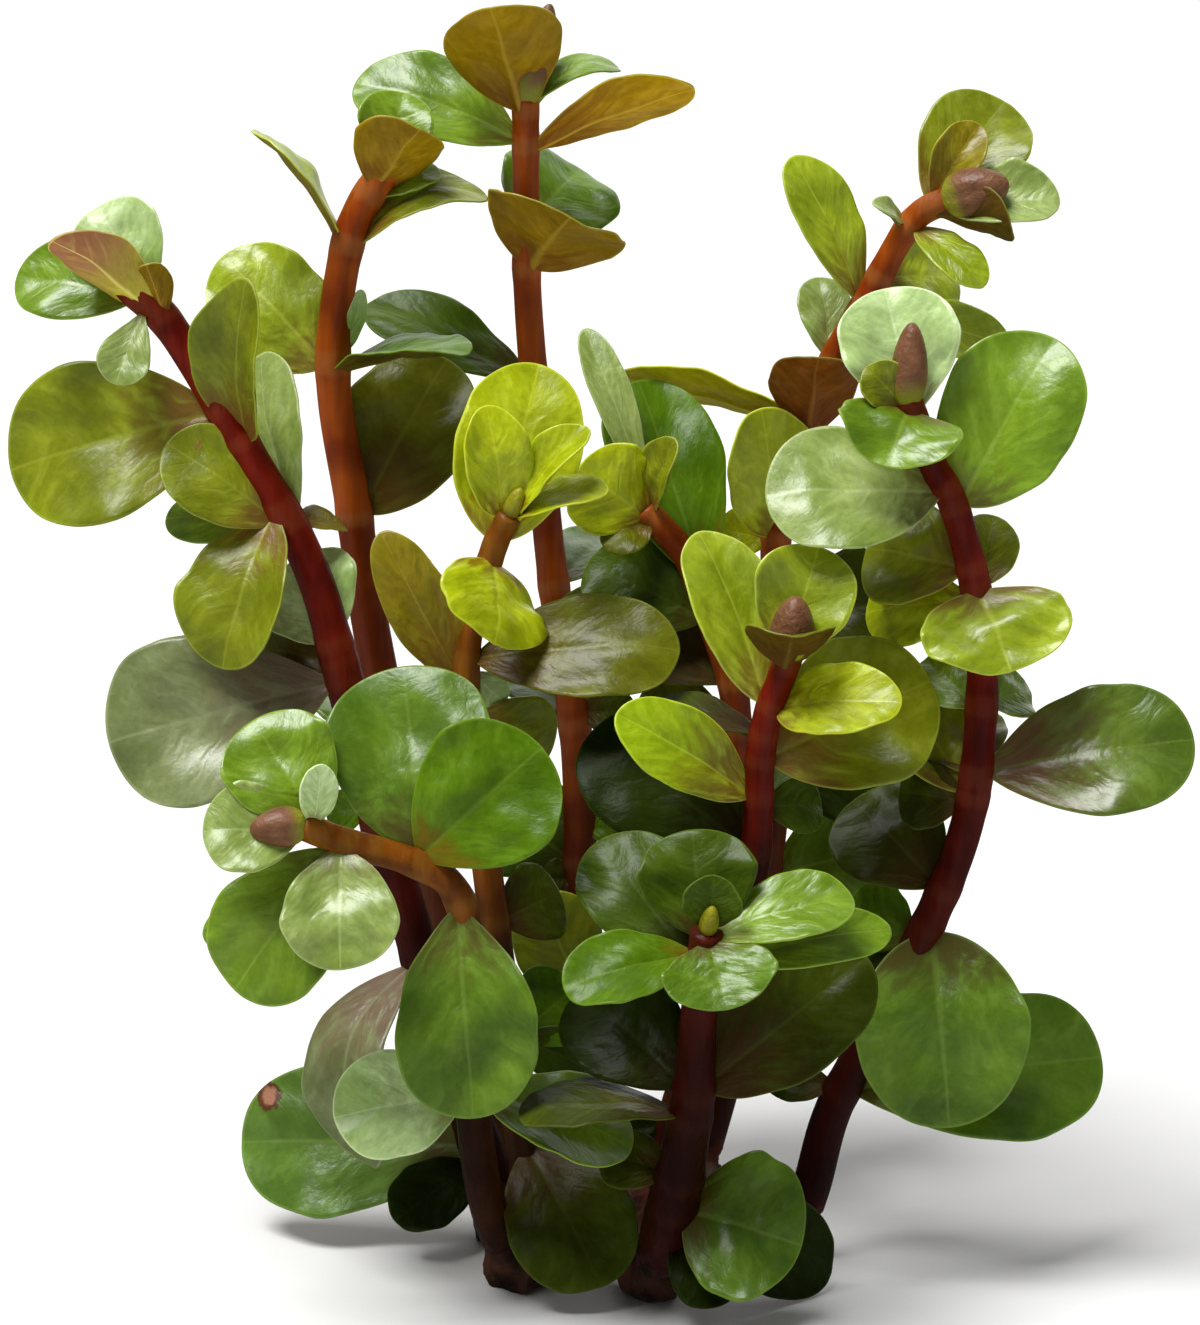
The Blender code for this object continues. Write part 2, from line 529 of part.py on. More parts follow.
def cut_flat_at_ground(obj):
    """Cuts away what reaches below z = 0, where the plant was lifted from the ground."""
    made = bmesh.new()
    place = Matrix.Translation((0, 0, -GROUND_DEPTH / 2 * MM))
    size = Matrix.Diagonal((GROUND_WIDTH * MM, GROUND_WIDTH * MM, GROUND_DEPTH * MM, 1))
    bmesh.ops.create_cube(made, size=1, matrix=place @ size)
    mesh = bpy.data.meshes.new("ground")
    made.to_mesh(mesh)
    made.free()
    ground = bpy.data.objects.new("ground", mesh)
    bpy.context.scene.collection.objects.link(ground)
    ground.hide_render = True
    ground.display_type = "WIRE"
    sole = obj.modifiers.new("Sole", "BOOLEAN")
    sole.operation = "DIFFERENCE"
    sole.object = ground


def main():
    clear_scene()
    leaf_green = make_material("leaf green", LEAF_GREEN, 0.35)
    stem_red = make_material("stem red", STEM_RED, 0.45)
    root_brown = make_material("root brown", ROOT_BROWN, 0.8)
    cut_flat_at_ground(make_rootstock(root_brown))
    for name, shoot in SHOOTS.items():
        make_shoot(name, shoot, leaf_green, stem_red)


main()
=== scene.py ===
# %% [markdown]
# # Indian toothcup
#
# This lesson dresses a small water plant grown above water: ten red-brown shoots with rounded,
# glossy leaves in pairs, which rise from one low rootstock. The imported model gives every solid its
# place, so the first step loads it and nothing later moves it.

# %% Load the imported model
from collections import namedtuple
from math import cos, exp, pi, radians, sin

import bmesh
import bpy
from mathutils import Matrix, Vector, noise


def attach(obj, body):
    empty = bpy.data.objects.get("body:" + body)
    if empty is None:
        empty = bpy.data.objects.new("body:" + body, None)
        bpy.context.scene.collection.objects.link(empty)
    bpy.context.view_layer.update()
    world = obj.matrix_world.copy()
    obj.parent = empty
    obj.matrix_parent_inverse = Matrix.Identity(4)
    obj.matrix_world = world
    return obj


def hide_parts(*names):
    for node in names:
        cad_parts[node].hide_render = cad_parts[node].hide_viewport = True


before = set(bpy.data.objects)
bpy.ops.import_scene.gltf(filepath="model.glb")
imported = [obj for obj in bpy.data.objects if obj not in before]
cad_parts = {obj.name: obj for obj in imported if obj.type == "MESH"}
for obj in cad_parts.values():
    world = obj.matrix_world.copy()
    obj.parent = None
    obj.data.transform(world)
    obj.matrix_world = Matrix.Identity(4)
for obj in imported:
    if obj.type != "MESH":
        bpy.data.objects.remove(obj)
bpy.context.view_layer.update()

MM = 0.001


# %% [markdown]
# ## Camera
#
# The photo looks at the clump from the front and a little above. One pixel of it is 0.08 mm at the
# middle of the plant, so the lens follows from the picture's height and the camera's distance. A
# long distance keeps the shoots at the back nearly as large as those in front. The colours below
# are given as they look on screen, so the view is the plain one, without a film's contrast.

# %% Camera
PIXEL = 0.08 * MM
PICTURE_HEIGHT = 1325 * PIXEL
CAMERA_DISTANCE = 350 * MM
CAMERA_TILT = radians(12)
AIM = Vector((0, 0, 48.6 * MM))
SENSOR = 36.0


def add_object(name, data):
    """Puts a camera, a light or a mesh into the scene."""
    added = bpy.data.objects.new(name, data)
    bpy.context.scene.collection.objects.link(added)
    return added


camera_data = bpy.data.cameras.new("camera")
camera_data.sensor_width = SENSOR
camera_data.lens = SENSOR * CAMERA_DISTANCE / PICTURE_HEIGHT
camera_data.clip_start = 10 * MM
camera = add_object("camera", camera_data)
camera.location = AIM + CAMERA_DISTANCE * Vector((0, -cos(CAMERA_TILT), sin(CAMERA_TILT)))
camera.rotation_euler = (pi / 2 - CAMERA_TILT, 0, 0)
bpy.context.scene.camera = camera
bpy.context.scene.view_settings.view_transform = "Standard"
print("lens:", round(camera_data.lens, 1), "mm")

# %% [markdown]
# ## Recipes for finishes
#
# A finish is a small tree of nodes that ends in one shader. It could be clicked together in the
# shader editor, but a script can be read and changed. Writing each node out takes many lines, so a
# recipe object adds a node, feeds its inputs with a number, a colour or another node's output, and
# gives its result back.

# %% A recipe for a finish
def paint(red, green, blue):
    """A colour given as it looks on screen, 0 to 255, as the linear values that shaders use."""
    channels = []
    for value in (red, green, blue):
        part = value / 255
        channels.append(part / 12.92 if part <= 0.04045 else ((part + 0.055) / 1.055) ** 2.4)
    return (*channels, 1.0)


GLOW_COLOURS = (0.6, 1.0, 0.2)
GLOW_DEPTH = 0.8 * MM


class Recipe:
    """The node tree of one finish."""

    def __init__(self, name):
        self.material = bpy.data.materials.new(name)
        self.material.use_nodes = True
        self.tree = self.material.node_tree
        self.shader = self.tree.nodes["Principled BSDF"]
        self.place = self.node("ShaderNodeTexCoord").outputs["Object"]

    def node(self, kind, **settings):
        made = self.tree.nodes.new(kind)
        for name, value in settings.items():
            setattr(made, name, value)
        return made

    def feed(self, socket, value):
        """Links another node's output to a socket, or sets the socket to a plain value."""
        if isinstance(value, bpy.types.NodeSocket):
            self.tree.links.new(value, socket)
        else:
            socket.default_value = value

    def attribute(self, name):
        """A number that the points of the mesh carry."""
        return self.node("ShaderNodeAttribute", attribute_name=name).outputs["Fac"]

    def split(self, place):
        """The outputs "X", "Y" and "Z" of a place."""
        made = self.node("ShaderNodeSeparateXYZ")
        self.feed(made.inputs[0], place)
        return made.outputs

    def math(self, operation, *values):
        made = self.node("ShaderNodeMath", operation=operation)
        for socket, value in zip(made.inputs, values):
            self.feed(socket, value)
        return made.outputs[0]

    def plus(self, a, b):
        return self.math("ADD", a, b)

    def times(self, a, b):
        return self.math("MULTIPLY", a, b)

    def span(self, value, start, end):
        """start where value is 0, end where it is 1, and an even ramp from one to the other."""
        return self.math("MULTIPLY_ADD", value, end - start, start)

    def between(self, value, low, high):
        """0 where value is at low, 1 at high, and a soft step from one to the other."""
        made = self.node("ShaderNodeMapRange", interpolation_type="SMOOTHSTEP")
        self.feed(made.inputs["Value"], value)
        made.inputs["From Min"].default_value = low
        made.inputs["From Max"].default_value = high
        return made.outputs["Result"]

    def fade(self, value, low, high):
        """1 where value is at low and 0 at high."""
        return self.math("SUBTRACT", 1.0, self.between(value, low, high))

    def length(self, a, b):
        """How far the point (a, b) is from (0, 0)."""
        return self.math("SQRT", self.plus(self.times(a, a), self.times(b, b)))

    def cloud(self, size, detail=2.0, stretch=(1, 1, 1), place=None):
        """Noise with patches of about this size, from 0 to 1."""
        mapping = self.node("ShaderNodeMapping")
        self.feed(mapping.inputs["Vector"], place or self.place)
        mapping.inputs["Scale"].default_value = stretch
        made = self.node("ShaderNodeTexNoise")
        self.feed(made.inputs["Vector"], mapping.outputs["Vector"])
        made.inputs["Scale"].default_value = 1 / size
        made.inputs["Detail"].default_value = detail
        return made.outputs["Fac"]

    def mix(self, share, a, b, blend="MIX"):
        """Colour a where share is 0, and b where it is 1. The node has many sockets, for numbers,
        vectors and colours: 0 is the share, 6 and 7 are the two colours, and 2 is their mixture."""
        made = self.node("ShaderNodeMix", data_type="RGBA", blend_type=blend)
        for number, value in ((0, share), (6, a), (7, b)):
            self.feed(made.inputs[number], value)
        return made.outputs[2]

    def shade(self, colour, amount):
        """The colour made darker below an amount of 1 and lighter above it."""
        return self.mix(1.0, colour, amount, "MULTIPLY")

    def bump(self, height, depth):
        """Small relief, depth metres from its lowest to its highest."""
        made = self.node("ShaderNodeBump")
        made.inputs["Distance"].default_value = depth
        self.feed(made.inputs["Height"], height)
        self.feed(self.shader.inputs["Normal"], made.outputs["Normal"])

    def gloss(self, shine, coat, coat_roughness, glow=0.0):
        """Constant values: how much the surface and the clear skin over it mirror, and light that
        passes through the flesh."""
        self.shader.inputs["Specular IOR Level"].default_value = shine
        self.shader.inputs["Coat Weight"].default_value = coat
        self.shader.inputs["Coat Roughness"].default_value = coat_roughness
        self.shader.inputs["Subsurface Weight"].default_value = glow
        self.shader.inputs["Subsurface Radius"].default_value = GLOW_COLOURS
        self.shader.inputs["Subsurface Scale"].default_value = GLOW_DEPTH

    def colour(self, colour, roughness):
        self.feed(self.shader.inputs["Base Color"], colour)
        self.feed(self.shader.inputs["Roughness"], roughness)


print("example, leaf green:", [round(c, 3) for c in paint(110, 150, 40)])

# %% [markdown]
# ## Floor and light
#
# The plant stands on a plain pale floor. The main light comes from above and a little from the
# front left. A small lamp would cast hard shadows, so this one is as wide as a studio lamp close by,
# and leaves that face up mirror it as broad pale patches. The surroundings add only a little, so
# that the gaps low in the clump stay dark. Glossy leaves would also mirror the floor, as a grey veil
# over their greens, so the floor is hidden from mirror rays. A weak, very wide light from behind
# keeps the back of the clump from going black.

# %% Floor
FLOOR_RADIUS = 4.0
FLOOR_PATCH = 0.2

floor_recipe = Recipe("pale floor")
floor_colour = floor_recipe.mix(floor_recipe.cloud(FLOOR_PATCH), paint(222, 221, 219), paint(227, 227, 226))
floor_recipe.colour(floor_colour, 0.9)
floor_shape = bmesh.new()
bmesh.ops.create_circle(floor_shape, cap_ends=True, segments=128, radius=FLOOR_RADIUS)
floor_mesh = bpy.data.meshes.new("floor")
floor_shape.to_mesh(floor_mesh)
floor_shape.free()
floor_mesh.materials.append(floor_recipe.material)
floor = add_object("floor", floor_mesh)
floor.visible_glossy = False
print("floor radius:", FLOOR_RADIUS, "m")

# %% Light
LIGHT_FROM = Vector((-0.35, -0.25, 1.0))
LIGHT_WIDTH = radians(30)
LIGHT_STRENGTH = 4.2
FILL_FROM = Vector((0.3, 1.0, 0.6))
FILL_WIDTH = radians(70)
FILL_STRENGTH = 1.3
SURROUNDINGS = 0.13


def add_light(name, comes_from, width, strength):
    light_data = bpy.data.lights.new(name, "SUN")
    light_data.angle = width
    light_data.energy = strength
    add_object(name, light_data).rotation_euler = comes_from.to_track_quat("Z", "Y").to_euler()


add_light("soft light from above", LIGHT_FROM, LIGHT_WIDTH, LIGHT_STRENGTH)
add_light("weak light from behind", FILL_FROM, FILL_WIDTH, FILL_STRENGTH)
world = bpy.data.worlds.new("pale surroundings")
world.use_nodes = True
world.node_tree.nodes["Background"].inputs["Color"].default_value = paint(235, 238, 240)
world.node_tree.nodes["Background"].inputs["Strength"].default_value = SURROUNDINGS
bpy.context.scene.world = world
print("light from:", tuple(round(c, 2) for c in LIGHT_FROM), "strength:", LIGHT_STRENGTH)

# %% [markdown]
# ## Leaf finishes
#
# A leaf's colour changes with its age and its light: young leaves are lime, grown ones deep green,
# and strong light or cold turns the foot and the underside bronze to red. Each tone below gives the
# colours of one such leaf. The blush starts at the foot and reaches this share of the leaf's length.
# Below zero, it covers this share at the tip instead.
#
# One painted picture for all leaves would repeat itself and stretch on the long ones. Instead each
# blade has a map, from its foot to its tip and from side to side, and the midrib, the arched side
# veins, the blush, the painted sheen highlights and the thin pale rim, a painted edge highlight, are
# worked out from it.

# %% Tones
Tone = namedtuple("Tone", "light deep blush blush_reach under shine scar", defaults=(1.0, None))

TONES = {
    "lime": Tone((180, 192, 6), (140, 152, 2), (128, 92, 8), 0.30, (190, 180, 8), 0.6),
    "flushed": Tone((168, 192, 8), (130, 156, 4), (112, 66, 14), 0.75, (160, 140, 14), 0.6),
    "fresh": Tone((170, 186, 28), (126, 144, 10), (122, 92, 34), 0.40, (146, 132, 14)),
    "leafy": Tone((88, 122, 4), (64, 94, 2), (112, 90, 10), 0.30, (92, 86, 12), 0.35),
    "green": Tone((122, 154, 20), (84, 114, 6), (96, 88, 22), 0.30, (112, 106, 16)),
    "moss": Tone((98, 130, 20), (64, 94, 6), (84, 70, 22), 0.40, (94, 86, 16), 0.8),
    "scarred": Tone((104, 138, 44), (72, 102, 20), (84, 70, 22), 0.40, (94, 86, 16), 1.0, (0.87, 0.25)),
    "deep": Tone((70, 92, 8), (44, 62, 2), (64, 50, 14), 0.40, (78, 66, 14), 0.3),
    "olive": Tone((136, 146, 12), (98, 106, 3), (118, 76, 32), 0.50, (128, 96, 8), 0.7),
    "drab": Tone((108, 112, 8), (76, 78, 3), (94, 60, 22), 0.60, (98, 72, 10), 0.45),
    "dusky": Tone((66, 78, 8), (42, 48, 2), (70, 44, 20), 0.65, (64, 46, 12), 0.2),
    # Painted shade: near-black green for leaves that stand in the deep shade low in the clump.
    "shade": Tone((38, 50, 6), (20, 28, 2), (34, 22, 6), 0.50, (40, 28, 6), 0.1),
    # Pale grey-green, partly the leaves' own colour and partly their glossy glare painted in as reflection.
    "pale": Tone((154, 172, 94), (112, 134, 44), (116, 108, 50), 0.30, (134, 134, 62)),
    # Painted reflection: the palest grey-green, a pale leaf with its broad glare painted into its colour.
    "glare_pale": Tone((196, 220, 154), (152, 182, 92), (144, 138, 84), 0.30, (150, 156, 92)),
    "ashen": Tone((134, 144, 94), (90, 102, 44), (122, 92, 76), 0.70, (96, 72, 42)),
    "bronze": Tone((146, 132, 6), (112, 98, 2), (128, 78, 12), 0.50, (166, 130, 2), 0.7),
    "amber": Tone((134, 138, 8), (100, 98, 3), (136, 72, 6), 0.70, (200, 156, 2)),
    "russet": Tone((112, 106, 14), (82, 66, 4), (118, 56, 12), 0.50, (142, 80, 2), 0.7),
    "rosy": Tone((158, 144, 60), (120, 106, 30), (166, 92, 82), -0.78, (222, 206, 72)),
    "blushed": Tone((98, 122, 26), (62, 86, 8), (100, 56, 34), 0.75, (100, 60, 22)),
}
print("tones:", ", ".join(TONES))

# %% Where the midrib, the veins and the wrinkles lie
BLOTCH = 6 * MM
BLOTCH_EDGES = (0.2, 0.8)
SPECKLE = 0.5 * MM
RIB_WIDTH = 0.075
RIB_CORE = 0.1
RIB_END = 1.25
VEIN_PAIRS = 5.5
VEIN_SWEEP = 0.42
VEIN_BEND = 1.25
VEIN_WIDTH = 0.2
VEIN_WANDER = 0.2
WANDER_SIZE = 2.5 * MM
VEINS_END = (0.45, 0.95)
WRINKLES_ALONG = 9.0
WRINKLES_ASIDE = 2.5
WRINKLE_CHANGE = 25.0
CHANGE_SIZE = 20 * MM
PAINTED_SHEEN_EDGES = (0.45, 0.75)

Pattern = namedtuple("Pattern", "along across out blotches speckle rib veins wrinkles sheen")


def leaf_pattern(recipe):
    """Places on the leaf's map, 0 to 1, and how strongly each mark shows there, also 0 to 1."""
    spot = recipe.split(recipe.node("ShaderNodeUVMap", uv_map="blade").outputs["UV"])
    along = spot["X"]
    aside = recipe.math("ABSOLUTE", recipe.span(spot["Y"], -1.0, 1.0))
    out = recipe.length(recipe.span(along, -1.0, 1.0), aside)
    blotches = recipe.between(recipe.cloud(BLOTCH), *BLOTCH_EDGES)
    slim = recipe.math("DIVIDE", aside, recipe.math("SUBTRACT", RIB_END, along))
    rib = recipe.fade(slim, RIB_CORE * RIB_WIDTH, RIB_WIDTH)

    sweep = recipe.times(recipe.math("POWER", aside, VEIN_BEND), VEIN_SWEEP)
    wander = recipe.times(recipe.cloud(WANDER_SIZE), VEIN_WANDER)
    step = recipe.plus(recipe.math("SUBTRACT", along, sweep), wander)
    from_vein = recipe.math("PINGPONG", recipe.times(step, VEIN_PAIRS), 0.5)
    veins = recipe.times(recipe.fade(from_vein, 0.0, VEIN_WIDTH), blotches)
    veins = recipe.times(veins, recipe.fade(out, *VEINS_END))

    flow = recipe.node("ShaderNodeCombineXYZ")
    recipe.feed(flow.inputs["X"], recipe.times(step, WRINKLES_ALONG))
    recipe.feed(flow.inputs["Y"], recipe.times(aside, WRINKLES_ASIDE))
    recipe.feed(flow.inputs["Z"], recipe.times(recipe.cloud(CHANGE_SIZE), WRINKLE_CHANGE))
    wrinkles = recipe.cloud(1.0, detail=4.0, place=flow.outputs[0])
    # Painted highlight: pale sheen streaks where the wrinkles are middling, standing for reflections.
    sheen = recipe.times(recipe.between(wrinkles, *PAINTED_SHEEN_EDGES), blotches)
    speckle = recipe.cloud(SPECKLE, detail=3.0)
    return Pattern(along, spot["Y"], out, blotches, speckle, rib, veins, wrinkles, sheen)


print("side veins on a leaf:", int(VEIN_PAIRS), "pairs")

# %% Colours of a leaf
Side = namedtuple("Side", "name sheen veins rib roughness relief")

# Each side gives how strongly its painted sheen highlight shows, besides its veins, midrib and relief.
UPPER = Side("upper side", sheen=0.45, veins=0.14, rib=0.34, roughness=0.28, relief=-0.3)
UNDER = Side("underside", sheen=0.25, veins=0.22, rib=0.6, roughness=0.42, relief=0.3)
UNDER_DEEP = 0.8
PALE_SHARE = 0.85
PALE_LIFT = 0.3
WRINKLE_SHADES = (0.73, 1.28)
SPECKLE_SHADES = (0.75, 1.25)
BLUSH_STRENGTH = 0.85
BLUSH_FULL = (0.05, 0.75)
RAGGEDNESS = 0.25
# Painted edge highlight: where the pale rim line lies on the leaf's map, and how strongly it shows.
RIM_HIGHLIGHT = (0.965, 0.99)
RIM_HIGHLIGHT_STRENGTH = 0.5
SCAR_REACH = (1 / 22, 1 / 14)
SCAR_EDGE = (92, 50, 22)
SCAR_MIDDLE = (176, 120, 92)
SCAR_RAGGEDNESS = 0.6


def leaf_colour(recipe, pattern, tone, side):
    """Light and deep blotches, the blush, paler veins and midrib, and painted sheen and rim highlights."""
    light, deep = tone.light, tone.deep
    if side is UNDER:
        light, deep = tone.under, [UNDER_DEEP * c for c in tone.under]
    # This pale colour paints the real veins and midrib, and the painted sheen and rim highlights.
    pale = paint(*(min(255, PALE_SHARE * c + PALE_LIFT * max(light)) for c in light))
    colour = recipe.mix(pattern.blotches, paint(*deep), paint(*light))
    colour = recipe.shade(colour, recipe.span(pattern.wrinkles, *WRINKLE_SHADES))
    colour = recipe.shade(colour, recipe.span(pattern.speckle, *SPECKLE_SHADES))
    ragged = recipe.plus(pattern.along, recipe.span(pattern.wrinkles, -RAGGEDNESS, RAGGEDNESS))
    if tone.blush_reach > 0:
        blush = recipe.fade(ragged, BLUSH_FULL[0], tone.blush_reach)
    else:
        blush = recipe.between(ragged, 1 + tone.blush_reach, BLUSH_FULL[1])
    colour = recipe.mix(recipe.times(blush, BLUSH_STRENGTH), colour, paint(*tone.blush))
    # Painted highlight: a thin pale line round the rim, where light catches the leaf's edge.
    rim = recipe.between(pattern.out, *RIM_HIGHLIGHT)
    for mark, strength in ((pattern.sheen, side.sheen), (pattern.veins, side.veins),
                           (pattern.rib, side.rib), (rim, RIM_HIGHLIGHT_STRENGTH)):
        colour = recipe.mix(recipe.times(mark, strength), colour, pale)
    return colour


def scar_colour(recipe, pattern, colour, scar):
    """The colour with a brown spot on it, paler in its middle, at this place of the leaf's map."""
    away = []
    for place, middle, reach in zip((pattern.along, pattern.across), scar, SCAR_REACH):
        away.append(recipe.math("DIVIDE", recipe.math("SUBTRACT", place, middle), reach))
    rough = recipe.span(pattern.speckle, -SCAR_RAGGEDNESS, SCAR_RAGGEDNESS)
    ragged = recipe.plus(recipe.length(*away), rough)
    colour = recipe.mix(recipe.fade(ragged, 1.0, 1.3), colour, paint(*SCAR_EDGE))
    return recipe.mix(recipe.fade(ragged, 0.5, 0.9), colour, paint(*SCAR_MIDDLE))


print("pale share of the midrib:", UPPER.rib, "above,", UNDER.rib, "below")

# %% The finish of a leaf's two sides
UNDER_SHINE = 0.3
LEAF_MIRROR = 0.45
LEAF_COAT = 0.3
ROUGHER = 0.16
LEAF_RELIEF = 0.12 * MM
WRINKLE_HEIGHT = 1.1
SPECKLE_HEIGHT = 0.3


def leaf_finish(tone_name, tone, side):
    """The upper side is glossy with sunken veins. The underside is duller, with raised pale ones."""
    recipe = Recipe(f"{tone_name} leaf, {side.name}")
    pattern = leaf_pattern(recipe)
    colour = leaf_colour(recipe, pattern, tone, side)
    if side is UPPER and tone.scar:
        colour = scar_colour(recipe, pattern, colour, tone.scar)
    recipe.colour(colour, recipe.span(pattern.wrinkles, side.roughness, side.roughness + ROUGHER))
    relief = recipe.times(pattern.wrinkles, WRINKLE_HEIGHT)
    relief = recipe.plus(recipe.times(pattern.veins, side.relief), relief)
    relief = recipe.plus(recipe.times(pattern.speckle, SPECKLE_HEIGHT), relief)
    recipe.bump(relief, LEAF_RELIEF)
    shine = tone.shine if side is UPPER else UNDER_SHINE
    recipe.gloss(shine=LEAF_MIRROR * shine, coat=LEAF_COAT * shine, coat_roughness=0.3, glow=0.14)
    return recipe.material


finishes = {name: [leaf_finish(name, tone, side) for side in (UPPER, UNDER)] for name, tone in TONES.items()}
print("leaf finishes:", 2 * len(finishes))

# %% [markdown]
# ## Stem, bud and rootstock finishes
#
# The stems run from wine red to brick and rust, with fine streaks along them, a faint paler ring at
# each joint and a soft shine, and painted shade makes them nearly black towards the ground. A ring
# could be painted by its height, but the stems lean and bend, so an attribute on the stem's points
# says how near a joint is. The buds are brown with an olive foot, or yellow-green with a browner
# one, and the rootstock is dull brown bark that turns into stem red as it rises.

# %% Stem finish
Stain = namedtuple("Stain", "light deep joint dark_below bright_above")

# dark_below and bright_above are the heights between which the painted shade fades out up the stem.
STAINS = {
    "wine": Stain((118, 22, 2), (80, 8, 1), (142, 66, 30), 14 * MM, 62 * MM),
    "brick": Stain((166, 76, 6), (124, 46, 2), (180, 122, 60), 14 * MM, 62 * MM),
    "rust": Stain((130, 72, 6), (86, 42, 2), (140, 100, 30), 22 * MM, 34 * MM),
}
STREAK = 0.7 * MM
STREAK_STRETCH = (1, 1, 0.12)
STREAK_DEPTH = 0.14 * MM
STREAK_SHADES = (0.55, 1.45)
STEM_BLOTCH = 6 * MM
# Painted shade low on the stems: its colour, and how strongly it covers the stem at the ground.
STEM_SHADE_COLOUR = (26, 7, 2)
STEM_SHADE_STRENGTH = 0.85
RING_STRENGTH = 0.28
RING_RAGGEDNESS = 0.3


def stem_finish(name, stain):
    recipe = Recipe(name)
    streaks = recipe.cloud(STREAK, detail=3.0, stretch=STREAK_STRETCH)
    blotches = recipe.between(recipe.cloud(STEM_BLOTCH), 0.35, 0.65)
    skin = recipe.mix(blotches, paint(*stain.deep), paint(*stain.light))
    skin = recipe.shade(skin, recipe.span(streaks, *STREAK_SHADES))
    ragged = recipe.span(streaks, -RING_RAGGEDNESS, RING_RAGGEDNESS)
    near_joint = recipe.plus(recipe.attribute("joint"), ragged)
    ring = recipe.times(recipe.between(near_joint, 0.45, 1.0), RING_STRENGTH)
    skin = recipe.mix(ring, skin, paint(*stain.joint))
    # Painted shade: the stem turns nearly black towards the ground, where the clump shades it.
    painted_shade = recipe.fade(recipe.split(recipe.place)["Z"], stain.dark_below, stain.bright_above)
    skin = recipe.mix(recipe.times(painted_shade, STEM_SHADE_STRENGTH), skin, paint(*STEM_SHADE_COLOUR))
    recipe.colour(skin, recipe.span(streaks, 0.26, 0.56))
    recipe.bump(streaks, STREAK_DEPTH)
    recipe.gloss(shine=0.16, coat=0.05, coat_roughness=0.2, glow=0.1)
    return recipe.material


stem_finishes = {name: stem_finish(name + " stem", stain) for name, stain in STAINS.items()}
print("stem finishes:", ", ".join(stem_finishes))

# %% Bud finish
BUD_PATCH = 1.2 * MM
BUD_FOOT = (0.12, 0.42)
BUD_RAGGEDNESS = 0.15
BUD_GRAIN = 0.35 * MM
BUD_GRAIN_DEPTH = 0.12 * MM


def bud_finish(name, dark, light, foot):
    recipe = Recipe(name)
    patches = recipe.cloud(BUD_PATCH, detail=3.0)
    top = recipe.mix(patches, paint(*dark), paint(*light))
    ragged = recipe.span(patches, -BUD_RAGGEDNESS, BUD_RAGGEDNESS)
    rise = recipe.plus(recipe.attribute("rise"), ragged)
    skin = recipe.mix(recipe.between(rise, *BUD_FOOT), paint(*foot), top)
    recipe.colour(skin, recipe.span(patches, 0.32, 0.52))
    recipe.bump(recipe.cloud(BUD_GRAIN, detail=3.0), BUD_GRAIN_DEPTH)
    recipe.gloss(shine=0.3, coat=0.1, coat_roughness=0.25, glow=0.05)
    return recipe.material


bud_finishes = {"brown": bud_finish("brown bud", (78, 40, 22), (148, 102, 70), (140, 142, 34)),
                "green": bud_finish("green bud", (112, 112, 10), (164, 158, 26), (120, 100, 20))}
print("bud finishes:", ", ".join(bud_finishes))

# %% Rootstock finish
BARK_DARK = (38, 22, 14)
BARK_LIGHT = (84, 52, 34)
BARK_PATCH = 2.5 * MM
BARK_GRAIN = 0.6 * MM
BARK_GRAIN_DEPTH = 0.3 * MM
STUB_RED = (92, 24, 14)
TURNS_RED = (3 * MM, 6.5 * MM)
RED_RAGGEDNESS = 1.5 * MM


def rootstock_finish():
    recipe = Recipe("rootstock bark")
    patches = recipe.cloud(BARK_PATCH, detail=4.0)
    skin = recipe.mix(recipe.between(patches, 0.35, 0.65), paint(*BARK_DARK), paint(*BARK_LIGHT))
    ragged = recipe.span(patches, -RED_RAGGEDNESS, RED_RAGGEDNESS)
    height = recipe.plus(recipe.split(recipe.place)["Z"], ragged)
    skin = recipe.mix(recipe.between(height, *TURNS_RED), skin, paint(*STUB_RED))
    recipe.colour(skin, recipe.span(patches, 0.55, 0.85))
    recipe.bump(recipe.cloud(BARK_GRAIN, detail=4.0), BARK_GRAIN_DEPTH)
    recipe.gloss(shine=0.15, coat=0.0, coat_roughness=0.4)
    return recipe.material


bark = rootstock_finish()
print("rootstock finish:", bark.name)

# %% [markdown]
# ## How a shoot is described
#
# The tables below are in millimetres: x to the right, y to the back, z up. A shoot has a route for
# the middle of its stem, its radius at foot and tip, its bud, and its leaves from the tip down, with
# some that reach to the back after them. A leaf says how far below the tip its foot is, where its
# tip is from there, which way its upper side looks, and how wide, arched, cupped and wedge-shaped it
# is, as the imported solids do. Leaves could be scattered by a rule, but this clump is known by where
# its leaves are, so each has its row.

# %% Leaf, bud and shoot
Leaf = namedtuple("Leaf", "tone below_tip reach looks width arch cup wedge own",
                  defaults=(0.05, 0.1, 0.3, False))
Bud = namedtuple("Bud", "reach width")
Shoot = namedtuple("Shoot", "route foot_radius tip_radius bud leaves")
SHOOTS = {}


def big(*facts, **shape):
    """A grown-up leaf, a piece of its own."""
    return Leaf(*facts, own=True, **shape)


def young(*facts, **shape):
    """A young or half-hidden leaf, one piece with the others of its shoot."""
    return Leaf(*facts, **shape)


def add_shoot(name, **facts):
    SHOOTS[name] = Shoot(**facts)
    print(f"{name}: {len(SHOOTS[name].leaves)} leaves, tip at {SHOOTS[name].route[-1]}")


print("a leaf's facts:", ", ".join(Leaf._fields))

# %% [markdown]
# The shoot at the far left leans out. Its tip holds a small cupped leaf that turns pink-brown.

